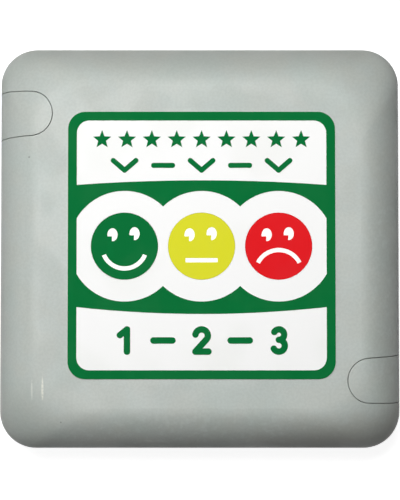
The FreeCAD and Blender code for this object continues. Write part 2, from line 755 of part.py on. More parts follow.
def base_screw_boss(corner, side):
    """The boss to add for a case screw, and its pilot hole and the tab's slot to take away."""
    boss = rod(
        f"{corner}_boss",
        screw_place(side, "floor_z"),
        "screw_pilot / 2 + tube_wall",
        "boss_top_z - floor_z",
    )
    pilot = rod(
        f"{corner}_pilot",
        screw_place(side, "pilot_end_z"),
        "screw_pilot / 2",
        "boss_top_z - pilot_end_z",
    )
    return [boss], [pilot, tab_block(f"{corner}_tab_slot", side, "tab_clearance")]


def base_post(corner, side):
    """A locating post with a shoulder that carries the cover's socket."""
    foot = screw_place(side, "floor_z")
    post = rod(f"{corner}_post", foot, "post_diameter / 2", "split_z + post_rise - floor_z")
    shoulder = rod(
        f"{corner}_post_shoulder", foot, "post_diameter / 2 + tube_wall", "boss_top_z - floor_z"
    )
    return [post, shoulder], []


def base_corner(corner, side):
    """A ring to add round a wall hole, and the hole and a foot's seat to take away."""
    side_x, side_y = side
    hole_x, hole_y = f"{side_x} * wall_hole_span_x / 2", f"{side_y} * wall_hole_span_y / 2"
    ring = rod(
        f"{corner}_wall_ring",
        (hole_x, hole_y, "floor_z"),
        "wall_hole / 2 + wall_ring_width",
        "wall_ring_height",
    )
    hole = rod(
        f"{corner}_wall_hole",
        (hole_x, hole_y, "foot_height"),
        "wall_hole / 2",
        "floor_wall + wall_ring_height",
    )
    foot_seat = rod(
        f"{corner}_foot_seat", foot_place(side, "foot_height"), "foot_diameter / 2", "foot_seat"
    )
    return [ring], [hole, foot_seat]


def make_rear_base():
    """The rear half of the case, a tray with bosses, posts and holes for a wall."""
    details = [base_screw_boss(corner, side) for corner, side in FLAPS.items()]
    details += [base_post(corner, side) for corner, side in POSTS.items()]
    details += [base_corner(corner, side) for corner, side in CORNERS.items()]
    added = [item for solids, _ in details for item in solids]
    removed = [item for _, holes in details for item in holes]
    plate_field = rounded_block(
        "plate_field",
        ("0", "0", "foot_height"),
        ("plate_field_width", "plate_field_length", "plate_field_depth"),
        "plate_field_corner",
    )
    keep("rear_base", cut("base", fuse("base_solid", [base_tray(), *added]), [*removed, plate_field]))


def make_screw_flaps():
    """The two flaps that hide the case screws, each a shell with two pegs and a tab."""
    outer = case_block("flap_outside", "0", "front_z")
    inside = case_block("flap_inside", "flap_thickness", "front_z - flap_thickness")
    skin = cut("flap_skin", outer, [inside])
    for corner, side in FLAPS.items():
        column = flap_column(f"{corner}_flap_outline", side, "0", "split_z", "front_z")
        shell = common(f"{corner}_flap_shell", [skin, column])
        pegs = [
            rod(f"{corner}_peg_{number}", spot, "peg_diameter / 2", "peg_length + flap_thickness / 2")
            for number, spot in enumerate(
                peg_places(side, "front_z - flap_thickness - peg_length"), start=1
            )
        ]
        tab = tab_block(f"{corner}_tab", side, "0")
        keep(f"screw_flap_{corner}", fuse(f"{corner}_flap", [shell, tab, *pegs]))


def make_screw(name, centre, thread, head, head_height, length):
    """A pan head screw whose head faces +Z, with a cross slot in the head."""
    x, y, z = centre
    body = fuse(
        f"{name}_body",
        [
            rod(f"{name}_head", (x, y, z), f"{head} / 2", head_height),
            rod(f"{name}_thread", (x, y, f"{z} - {length}"), f"{thread} / 2", length),
        ],
    )
    slot_z = f"{z} + {head_height} / 2"
    slots = [
        box(f"{name}_slot_x", (x, y, slot_z), ("cross_length", "cross_width", head_height)),
        box(f"{name}_slot_y", (x, y, slot_z), ("cross_width", "cross_length", head_height)),
    ]
    return cut(name, body, slots)


def make_case_screws():
    """The two screws that hold the case halves together."""
    screws = [
        make_screw(
            f"{corner}_case_screw",
            screw_place(side, "head_z"),
            "screw_pilot",
            "screw_head_diameter",
            "screw_head_height",
            "screw_length",
        )
        for corner, side in FLAPS.items()
    ]
    keep("case_screws", fuse("both_case_screws", screws))


def make_rubber_feet():
    """Four glued feet, sunk a little into the back."""
    for corner, side in CORNERS.items():
        foot = rod(
            f"{corner}_foot", foot_place(side, "0"), "foot_diameter / 2", "foot_height + foot_seat"
        )
        rounded = doc.addObject("Part::Fillet", f"{corner}_foot_round")
        rounded.Base = foot
        doc.recompute()
        number = int(edges_at(foot.Shape, 0.0)[0][len("Edge"):])
        rounded.Edges = [(number, measure("foot_round"), measure("foot_round"))]
        keep(f"rubber_foot_{corner}", rounded)


# ------------------------------------------------------------------ label


def label_block(name, size, radius, z, height):
    """A rounded square round the label's centre."""
    return rounded_block(name, ("panel_x", "panel_y", z), (size, size, height), radius)


def make_overlay_film():
    """The white film, open round the keys."""
    film = label_block("film_sheet", "film_size", "film_corner", "front_z", "film_thickness")
    windows = [
        rod(
            f"{name}_film_window",
            key_place(name, "front_z"),
            "key_diameter / 2 + film_gap",
            "film_thickness",
        )
        for name in KEYS
    ]
    keep("overlay_film", cut("film", film, windows))


def stroke(points, width):
    """A flat stroke with round ends along a list of corner points or (start, middle, end) arcs."""
    edges = [
        Part.LineSegment(*run).toShape() if len(run) == 2 else Part.Arc(*run).toShape()
        for run in points
    ]
    return Part.Wire(edges).makeOffset2D(width / 2, 0, True, False, False)


def polar(centre, radius, degrees):
    """A point at a distance and an angle from a centre."""
    angle = math.radians(degrees)
    return centre + Vector(radius * math.cos(angle), radius * math.sin(angle), 0)


def arc(centre, radius, start, end):
    """An arc's start, middle and end, with its angles in degrees."""
    return tuple(polar(centre, radius, angle) for angle in (start, (start + end) / 2, end))


def star_face(radius, waist):
    """A star round the origin, one point up."""
    corners = []
    for turn in range(STAR_POINTS):
        point_angle = 90 + turn * 360 / STAR_POINTS
        corners.append(polar(Vector(), radius, point_angle))
        corners.append(polar(Vector(), waist, point_angle + 180 / STAR_POINTS))
    return Part.Face(Part.makePolygon(corners + corners[:1]))


def chevron_face(width, depth, line):
    """A chevron round the origin that points down."""
    left = Vector(-width / 2, depth / 2, 0)
    tip = Vector(0, -depth / 2, 0)
    right = Vector(width / 2, depth / 2, 0)
    return stroke([(left, tip), (tip, right)], line)


def dash_face(length, line):
    """A level dash with round ends, round the origin."""
    left, right = Vector(-length / 2, 0, 0), Vector(length / 2, 0, 0)
    right_end = arc(right, line / 2, -90, 90)
    left_end = arc(left, line / 2, 90, 270)
    edges = [
        Part.Arc(*right_end).toShape(),
        Part.LineSegment(right_end[2], left_end[0]).toShape(),
        Part.Arc(*left_end).toShape(),
        Part.LineSegment(left_end[2], right_end[0]).toShape(),
    ]
    return Part.Face(Part.Wire(edges))


def digit_one(height, line):
    """The digit 1 round the origin, with a flag and no foot."""
    stem_x, flag_x, flag_y = 0.12 * height, -0.2 * height, 0.24 * height
    top = Vector(stem_x, height / 2, 0)
    foot = Vector(stem_x, -height / 2, 0)
    return stroke([(Vector(flag_x, flag_y, 0), top), (top, foot)], line)


def digit_two(height, line):
    """The digit 2 round the origin."""
    bowl = 0.28 * height
    shoulder = arc(Vector(0, height / 2 - bowl, 0), bowl, 170, -40)
    foot_left = Vector(-bowl, -height / 2, 0)
    foot_right = Vector(1.1 * bowl, -height / 2, 0)
    return stroke([shoulder, (shoulder[2], foot_left), (foot_left, foot_right)], line)


def digit_three(height, line):
    """The digit 3 round the origin, two bowls that meet at the waist."""
    upper, lower = 0.235 * height, 0.265 * height
    waist_y = height / 2 - 2 * upper
    upper_bowl = arc(Vector(0, waist_y + upper, 0), upper, 150, -90)
    lower_bowl = arc(Vector(0, waist_y - lower, 0), lower, 90, -150)
    return stroke([upper_bowl, lower_bowl], line)


def make_marks():
    """Stars, chevrons, digits and dashes: solids of ink on the film."""
    middle = Vector(measure("panel_x"), measure("panel_y"), 0)
    pitch = measure("key_pitch")
    thin = measure("chevron_stroke")
    thick = measure("digit_stroke")
    faces = []
    for step in range(-STARS_EACH_SIDE, STARS_EACH_SIDE + 1):
        star = star_face(measure("star_radius"), measure("star_waist"))
        faces.append((star, Vector(step * measure("star_pitch"), measure("star_y"), 0)))
    for column, digit_face in zip(KEYS.values(), (digit_one, digit_two, digit_three)):
        chevron = chevron_face(measure("chevron_width"), measure("chevron_depth"), thin)
        faces.append((chevron, Vector(column * pitch, measure("chevron_y"), 0)))
        digit = digit_face(measure("digit_height"), thick)
        faces.append((digit, Vector(column * pitch, -measure("digit_y"), 0)))
    for side in (-1, 1):
        for line, y in ((thin, measure("chevron_y")), (thick, -measure("digit_y"))):
            faces.append((dash_face(measure("dash_length"), line), Vector(side * pitch / 2, y, 0)))
    solids = []
    for face, spot in faces:
        face.translate(middle + spot + Vector(0, 0, measure("film_z")))
        solids.append(face.extrude(Vector(0, 0, measure("print_thickness"))))
    marks = doc.addObject("Part::Feature", "label_marks")
    marks.Shape = Part.makeCompound(solids)
    return marks


def make_overlay_print():
    """The green ink: a frame, a waisted band round the keys, and the marks."""
    sheet_block = label_block("frame_outer", "film_size", "film_corner", "film_z", "print_thickness")
    field = label_block(
        "frame_field", "frame_inner_size", "frame_inner_corner", "film_z", "print_thickness"
    )
    upper = rod(
        "band_upper_arc",
        ("panel_x", "panel_y + band_top + band_top_rise - band_top_arc", "film_z"),
        "band_top_arc",
        "print_thickness",
    )
    lower = rod(
        "band_lower_arc",
        ("panel_x", "panel_y - band_bottom - band_bottom_drop + band_bottom_arc", "film_z"),
        "band_bottom_arc",
        "print_thickness",
    )
    lobes = []
    for name in KEYS:
        x, y, z = key_place(name, "film_z")
        lobes.append(rod(f"{name}_lobe", (x, y, z), "lobe_radius", "print_thickness"))
    band = cut("band", common("band_between", [field, upper, lower]), lobes)
    frame = cut("frame", sheet_block, [field])
    keep("overlay_green_print", fuse("green_print", [frame, band, make_marks()]))


# ------------------------------------------------------------------ keys


def make_key(name):
    """A round key: crown, skirt, flange behind the front and a stem for the switch."""
    flange_z = "skin_z - flange_thickness"
    solid = fuse(
        f"{name}_key_solid",
        [
            rod(f"{name}_cap", key_place(name, flange_z), "key_diameter / 2", f"film_z - ({flange_z})"),
            rod(f"{name}_flange", key_place(name, flange_z), "flange_diameter / 2", "flange_thickness"),
        ],
    )
    hollow = rod(
        f"{name}_key_hollow",
        key_place(name, flange_z),
        "key_diameter / 2 - key_skirt",
        f"film_z - key_crown - ({flange_z})",
    )
    stem = rod(
        f"{name}_stem",
        key_place(name, "plunger_z"),
        "key_stem_diameter / 2",
        "film_z - key_crown - plunger_z",
    )
    keep(f"{name}_key", fuse(f"{name}_key_whole", [cut(f"{name}_key_shell", solid, [hollow]), stem]))


def eye_cutter(name, x, y):
    """A white eye: an ellipse without its lower left part, which is the pupil."""
    ellipse = doc.addObject("Part::Ellipse", f"{name}_ellipse")
    ellipse.Placement = Placement(Vector(), Rotation(Vector(0, 0, 1), 90))
    bind(ellipse, MajorRadius="eye_height / 2", MinorRadius="eye_width / 2")
    place(ellipse, x, y, "film_z")
    white = doc.addObject("Part::Extrusion", f"{name}_white")
    white.Base = ellipse
    white.DirMode = "Custom"
    white.Dir = Vector(0, 0, 1)
    white.Solid = True
    bind(white, LengthFwd="print_thickness")
    pupil = box(
        f"{name}_pupil",
        (f"{x} - pupil_x - eye_width / 2", f"{y} - pupil_y - eye_height / 2", "film_z"),
        ("eye_width", "eye_height", "print_thickness"),
    )
    return cut(name, white, [pupil])


def arc_cutter(name, centre, radius, angle, middle_angle):
    """A curved mouth: a piece of a ring round a centre."""
    x, y, z = centre
    wedge = doc.addObject("Part::Cylinder", f"{name}_wedge")
    bind(wedge, Radius=f"{radius} + mouth_stroke / 2", Height="print_thickness", Angle=angle)
    start = Rotation(Vector(0, 0, 1), middle_angle - measure(angle) / 2)
    place(wedge, x, y, z, start)
    middle = rod(f"{name}_middle", centre, f"{radius} - mouth_stroke / 2", "print_thickness")
    return cut(name, wedge, [middle])


def mouth_cutter(name):
    """The mouth of a face, by the name of its key."""
    x, y, z = key_place(name, "film_z")
    if name == "happy":
        return arc_cutter("smile", (x, y, z), "smile_radius", "smile_angle", -90)
    if name == "sad":
        return arc_cutter("frown", (x, f"{y} - frown_drop", z), "frown_radius", "frown_angle", 90)
    return box(
        "bar_mouth", (x, f"{y} - bar_mouth_drop", z), ("bar_mouth_width", "mouth_stroke", "print_thickness")
    )


def make_face_print(name):
    """The coloured face on a key, an ink layer that leaves the eyes and mouth white."""
    x, y, _ = key_place(name, "film_z")
    disc = rod(f"{name}_disc", key_place(name, "film_z"), "key_diameter / 2", "print_thickness")
    cutters = [
        eye_cutter(f"{name}_left_eye", f"{x} - left_eye_x", f"{y} + left_eye_y"),
        eye_cutter(f"{name}_right_eye", f"{x} + right_eye_x", f"{y} + right_eye_y"),
        mouth_cutter(name),
    ]
    keep(f"{name}_face_print", cut(f"{name}_print", disc, cutters))


# ------------------------------------------------------------------ switches


def make_switch(name):
    """A tactile switch: housing, pins, snap dome and plunger."""
    housing = box(
        f"{name}_switch_block",
        key_place(name, "board_z"),
        ("switch_width", "switch_width", "switch_body_height"),
    )
    cavity = rod(
        f"{name}_switch_cavity",
        key_place(name, "switch_floor_z"),
        "switch_cavity",
        "switch_roof_z - switch_floor_z",
    )
    mouth = rod(
        f"{name}_switch_mouth",
        key_place(name, "switch_roof_z"),
        "plunger_diameter / 2 + plunger_clearance",
        "switch_roof",
    )
    keep(f"{name}_switch_housing", cut(f"{name}_housing", housing, [cavity, mouth]))

    plunger = fuse(
        f"{name}_plunger",
        [
            rod(
                f"{name}_plunger_top",
                key_place(name, "plunger_flange_z"),
                "plunger_diameter / 2",
                "plunger_z - plunger_flange_z",
            ),
            rod(
                f"{name}_plunger_flange",
                key_place(name, "plunger_flange_z"),
                "plunger_flange_diameter / 2",
                "plunger_flange_thickness",
            ),
        ],
    )
    keep(f"{name}_switch_plunger", plunger)

    balls = []
    for part, radius in (("outer", "dome_arc"), ("inner", "dome_arc - dome_sheet")):
        ball = doc.addObject("Part::Sphere", f"{name}_dome_{part}")
        bind(ball, Radius=radius)
        balls.append(place(ball, *key_place(name, "plunger_flange_z - dome_arc")))
    shell = cut(f"{name}_dome_shell", balls[0], [balls[1]])
    slice_above = rod(
        f"{name}_dome_slice",
        key_place(name, "switch_floor_z"),
        "dome_diameter / 2",
        "dome_height + dome_sheet",
    )
    keep(f"{name}_snap_dome", common(f"{name}_dome", [shell, slice_above]))

    x, y, _ = key_place(name, "board_z")
    pin_low = "board_under_z - pin_protrusion"
    pins = [
        box(
            f"{name}_pin_{number}",
            (
                f"{x} + {way} * (switch_width + pin_thickness) / 2",
                f"{y} + {end} * pin_pitch / 2",
                pin_low,
            ),
            ("pin_thickness", "pin_width", f"board_z + switch_body_height / 2 - ({pin_low})"),
        )
        for number, (way, end) in enumerate(SWITCH_PINS, start=1)
    ]
    keep(f"{name}_switch_pins", fuse(f"{name}_pins", pins))


# ------------------------------------------------------------------ circuit board


def make_board():
    """The circuit board, with its screw holes and the slots for the switch pins."""
    blank = rounded_block(
        "board_blank",
        ("panel_x", "panel_y", "board_under_z"),
        ("board_width", "board_length", "board_thickness"),
        "board_corner",
    )
    holes = [
        rod(f"{corner}_board_hole", spot, "board_hole / 2", "board_thickness")
        for corner, spot in board_hole_places("board_under_z").items()
    ]
    for name in KEYS:
        x, y, z = key_place(name, "board_under_z")
        for number, (way, end) in enumerate(SWITCH_PINS, start=1):
            holes.append(
                box(
                    f"{name}_pin_slot_{number}",
                    (
                        f"{x} + {way} * (switch_width + pin_thickness) / 2",
                        f"{y} + {end} * pin_pitch / 2",
                        z,
                    ),
                    ("pin_thickness", "pin_width", "board_thickness"),
                )
            )
    keep("main_board", cut("board", blank, holes))


def make_board_screws():
    """The four screws that hold the circuit board to the front cover, their heads down."""
    steps = []
    for corner, (x, y, z) in board_hole_places("board_under_z").items():
        steps.append(
            rod(
                f"{corner}_board_screw_head",
                (x, y, f"{z} - board_screw_head_height"),
                "board_screw_head_diameter / 2",
                "board_screw_head_height",
            )
        )
        steps.append(
            rod(
                f"{corner}_board_screw_thread", (x, y, z), "board_screw_pilot / 2", "board_screw_length"
            )
        )
    keep("board_screws", fuse("all_board_screws", steps))


def under_board(x, y, height):
    """A place on the underside of the board for a part of a height."""
    return (f"panel_x + ({x})", f"panel_y + ({y})", f"board_under_z - {height}")


def make_board_parts():
    """What is soldered to the underside of the board, apart from the battery socket."""
    chip_place = under_board("0", "chip_y", "chip_height")
    keep("controller_chip", box("chip", chip_place, ("chip_width", "chip_width", "chip_height")))

    radio_place = under_board("radio_x", "radio_y", "radio_height")
    keep("radio_module", box("radio", radio_place, ("radio_width", "radio_length", "radio_height")))

    buzzer_place = under_board("-buzzer_x", "buzzer_y", "buzzer_height")
    buzzer_can = rod("buzzer_can", buzzer_place, "buzzer_diameter / 2", "buzzer_height")
    buzzer_hole = rod("buzzer_hole", buzzer_place, "buzzer_port / 2", "buzzer_height / 2")
    keep("sounder", cut("buzzer", buzzer_can, [buzzer_hole]))

    capacitor_place = under_board("capacitor_x", "-capacitor_y", "capacitor_height")
    capacitor = rod("capacitor", capacitor_place, "capacitor_diameter / 2", "capacitor_height")
    keep("buffer_capacitor", capacitor)

    x, y, z = under_board("0", "-header_y", "header_height")
    pins = [
        box(
            f"header_pin_{number}",
            (f"{x} + {number - (HEADER_PINS + 1) / 2} * header_pitch", y, f"{z} - header_pin_length"),
            ("header_pin", "header_pin", "header_height + header_pin_length"),
        )
        for number in range(1, HEADER_PINS + 1)
    ]
    strip = box("header_strip", (x, y, z), ("header_width", "header_length", "header_height"))
    keep("programming_header", fuse("header", [strip, *pins]))


def bent_rod(name, points, bend, diameter):
    """A round wire along straight runs, with an arc of one radius at each corner."""
    edges = []
    start = points[0]
    for before, corner, after in zip(points, points[1:], points[2:]):
        back = (before - corner).normalize()
        ahead = (after - corner).normalize()
        half_turn = (math.pi - back.getAngle(ahead)) / 2
        leg = bend * math.tan(half_turn)
        first = corner + back * leg
        last = corner + ahead * leg
        inward = (back + ahead).normalize()
        middle = corner + inward * (bend / math.cos(half_turn) - bend)
        edges.append(Part.LineSegment(start, first).toShape())
        edges.append(Part.Arc(first, middle, last).toShape())
        start = last
    edges.append(Part.LineSegment(start, points[-1]).toShape())
    section = Part.Wire(Part.makeCircle(diameter / 2, points[0], points[1] - points[0]))
    item = doc.addObject("Part::Feature", name)
    item.Shape = Part.Wire(edges).makePipeShell([section], True, False)
    return item


def make_antenna():
    """A wire from the radio module, bent to run along the board."""
    start = Vector(
        measure("panel_x + radio_x + antenna_x"),
        measure("panel_y + radio_y + antenna_y"),
        measure("radio_under_z"),
    )
    corner = start - Vector(0, 0, measure("antenna_drop"))
    end = corner - Vector(measure("antenna_reach"), 0, 0)
    points = [start, corner, end]
    keep("radio_antenna", bent_rod("antenna", points, measure("antenna_bend"), measure("antenna_diameter")))


# ------------------------------------------------------------------ battery


def make_battery_connector():
    """The socket under the board, its plug and the two leads to the holder."""
    x, y, z = under_board("-socket_x", "0", "socket_height")
    socket = box("socket_block", (x, y, z), ("socket_length", "socket_width", "socket_height"))
    mouth = box(
        "socket_mouth",
        (x, y, z),
        (
            "socket_length - 2 * socket_wall",
            "socket_width - 2 * socket_wall",
            "socket_height - socket_wall",
        ),
    )
    keep("battery_socket", cut("socket", socket, [mouth]))
    plug = box(
        "plug",
        (x, y, "plug_end_z"),
        (
            "socket_length - 2 * (socket_wall + plug_clearance)",
            "socket_width - 2 * (socket_wall + plug_clearance)",
            "socket_height + plug_protrusion - socket_wall - plug_clearance",
        ),
    )
    keep("battery_plug", plug)

    for colour, way in (("red", 1), ("black", -1)):
        top = Vector(measure(x), measure(f"{y} + {way} * lead_spacing / 2"), measure("plug_end_z"))
        corner = Vector(top.x, top.y, measure("lead_z"))
        end = Vector(-measure("contact_x"), way * measure("cell_pitch / 2"), corner.z)
        lead = bent_rod(
            f"{colour}_lead", [top, corner, end], measure("lead_bend"), measure("lead_diameter")
        )
        keep(f"battery_lead_{colour}", lead)


def make_battery_holder():
    """An open tray for two cells, taped to the floor, with its contact plates."""
    tape = box("tape", ("0", "0", "floor_z"), ("tape_width", "tape_length", "tape_thickness"))
    keep("holder_tape", tape)

    block = box("holder_block", ("0", "0", "holder_z"), ("holder_width", "holder_length", "holder_height"))
    tray = box(
        "holder_tray",
        ("0", "0", "tray_z"),
        ("holder_width - 2 * holder_wall", "holder_length - 2 * holder_wall", "holder_height"),
    )
    rib = box(
        "holder_rib",
        ("0", "0", "tray_z"),
        ("rib_length", "rib_thickness", "rib_height"),
    )
    keep("battery_holder", fuse("holder", [cut("holder_shell", block, [tray]), rib]))

    plate_height = "holder_height - holder_floor"
    button = "contact_space - contact_sheet"
    for name, side, rows, width in (
        ("contact_plate_positive", -1, (1,), "contact_width"),
        ("contact_plate_negative", -1, (-1,), "contact_width"),
        ("contact_bridge", 1, (1, -1), "contact_width + cell_pitch"),
    ):
        centre_y = f"{sum(rows)} * cell_pitch / 2" if len(rows) == 1 else "0"
        plate = box(
            f"{name}_sheet",
            (f"{side} * contact_x", centre_y, "tray_z"),
            ("contact_sheet", width, plate_height),
        )
        face_x = "contact_x - contact_sheet / 2"
        start_x = f"-({face_x})" if side < 0 else f"{face_x} - ({button})"
        buttons = [
            rod_along_x(
                f"{name}_button_{number}",
                (start_x, f"{row} * cell_pitch / 2", "cell_z"),
                "contact_button / 2",
                button,
            )
            for number, row in enumerate(rows, start=1)
        ]
        keep(name, fuse(f"{name}_whole", [plate, *buttons]))


def make_battery_cells():
    """Two cells side by side, one each way round."""
    half = "(cell_length + cell_nub_length) / 2"
    for number, (row, nub_side) in enumerate([(1, -1), (-1, 1)], start=1):
        y = f"{row} * cell_pitch / 2"
        body_start = f"-{half} + cell_nub_length" if nub_side < 0 else f"-{half}"
        nub_start = f"-{half}" if nub_side < 0 else f"{half} - cell_nub_length"
        can = rod_along_x(
            f"cell_can_{number}", (body_start, y, "cell_z"), "cell_diameter / 2", "cell_length"
        )
        nub = rod_along_x(
            f"cell_nub_{number}", (nub_start, y, "cell_z"), "cell_nub_diameter / 2", "cell_nub_length"
        )
        keep(f"battery_cell_{number}", fuse(f"cell_{number}", [can, nub]))


# ------------------------------------------------------------------ whole model


def check_model():
    """Stops if any object failed or any piece has no sound shape."""
    failed = [
        item.Name for item in doc.Objects if "Invalid" in item.State or "Error" in item.State
    ]
    if failed:
        raise RuntimeError(f"failed objects: {failed}")
    for item in pieces:
        if item.Shape.isNull() or not item.Shape.isValid() or not item.Shape.Solids:
            raise RuntimeError(f"bad shape: {item.Label}")


def write_parts():
    """Writes each piece to a STEP file of its own."""
    os.makedirs("parts", exist_ok=True)
    for item in pieces:
        item.Shape.exportStep(f"parts/{item.Label}.step")
        bounds = item.Shape.BoundBox
        print(
            f"{item.Label:28} solids {len(item.Shape.Solids)}  volume {item.Shape.Volume:9.1f}  "
            f"x {bounds.XMin:7.2f}..{bounds.XMax:6.2f}  y {bounds.YMin:7.2f}..{bounds.YMax:6.2f}  "
            f"z {bounds.ZMin:6.2f}..{bounds.ZMax:6.2f}"
        )


fill_sheet()
make_rear_base()
make_front_cover()
make_screw_flaps()
make_case_screws()
make_rubber_feet()
make_overlay_film()
make_overlay_print()
for key_name in KEYS:
    make_key(key_name)
    make_face_print(key_name)
    make_switch(key_name)
make_board()
make_board_screws()
make_board_parts()
make_antenna()
make_battery_connector()
make_battery_holder()
make_battery_cells()
doc.recompute()
check_model()
write_parts()
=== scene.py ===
"""Looks of a customer feedback terminal: a grey plastic box with a printed label and three keys.

Lengths are in metres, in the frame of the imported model: the terminal lies on its back, +Z points
out of its front and +Y is up on its label.  Sizes that read better in millimetres are multiplied
by MM where they are used.
"""

import logging
import math
import random
from collections.abc import Iterable, Sequence
from dataclasses import dataclass, field
from enum import Enum

import bmesh
import bpy
from mathutils import Matrix, Vector


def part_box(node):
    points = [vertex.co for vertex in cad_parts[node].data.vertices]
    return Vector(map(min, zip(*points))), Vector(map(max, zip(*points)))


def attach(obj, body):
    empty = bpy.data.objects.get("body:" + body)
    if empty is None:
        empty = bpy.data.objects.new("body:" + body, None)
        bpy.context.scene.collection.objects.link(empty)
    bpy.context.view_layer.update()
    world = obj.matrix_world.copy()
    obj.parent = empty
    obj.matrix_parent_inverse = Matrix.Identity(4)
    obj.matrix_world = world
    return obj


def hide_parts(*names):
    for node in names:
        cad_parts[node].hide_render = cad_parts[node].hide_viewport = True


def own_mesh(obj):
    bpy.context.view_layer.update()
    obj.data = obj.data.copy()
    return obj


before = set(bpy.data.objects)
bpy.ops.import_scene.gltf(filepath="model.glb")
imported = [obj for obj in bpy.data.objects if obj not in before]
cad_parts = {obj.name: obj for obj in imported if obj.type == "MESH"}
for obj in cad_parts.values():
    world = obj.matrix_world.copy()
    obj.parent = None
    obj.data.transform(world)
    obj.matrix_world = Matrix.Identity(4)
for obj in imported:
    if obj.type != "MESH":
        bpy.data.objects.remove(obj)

LOG = logging.getLogger("feedback_terminal")
MM = 0.001

Profile = list[tuple[float, float]]
Triple = tuple[float, float, float]
Socket = bpy.types.NodeSocket

# Edges of the made pieces that turn by more than this stay sharp.
CREASE = math.radians(35.0)
# Settings of a Map Range node that eases in and out.
SMOOTH = {"interpolation_type": "SMOOTHSTEP"}


# ------------------------------------------------------------------ small helpers


def linear(hex_colour: str) -> tuple[float, float, float, float]:
    """Turns an sRGB hex colour to linear light.

    Args:
        hex_colour: the colour as "#RRGGBB".

    Returns:
        Red, green, blue and an alpha of 1.
    """
    shares = [int(hex_colour[start : start + 2], 16) / 255 for start in (1, 3, 5)]
    red, green, blue = (
        share / 12.92 if share <= 0.04045 else ((share + 0.055) / 1.055) ** 2.4 for share in shares
    )
    return red, green, blue, 1.0


def add_node(
    tree: bpy.types.NodeTree,
    kind: str,
    settings: dict[str, object] | None = None,
    values: dict[str | int, object] | None = None,
    links: dict[str | int, Socket] | None = None,
) -> bpy.types.Node:
    """Adds a node with its settings, its sockets' values and the links into it.

    Args:
        tree: the node tree that gets the node.
        kind: the node's type name.
        settings: the node's own properties, by name.
        values: the values of its input sockets, by name or number.
        links: the sockets that feed its input sockets, by name or number.

    Returns:
        The new node.
    """
    node = tree.nodes.new(kind)
    for name, setting in (settings or {}).items():
        setattr(node, name, setting)
    for socket, value in (values or {}).items():
        node.inputs[socket].default_value = value
    for socket, source in (links or {}).items():
        tree.links.new(source, node.inputs[socket])
    return node


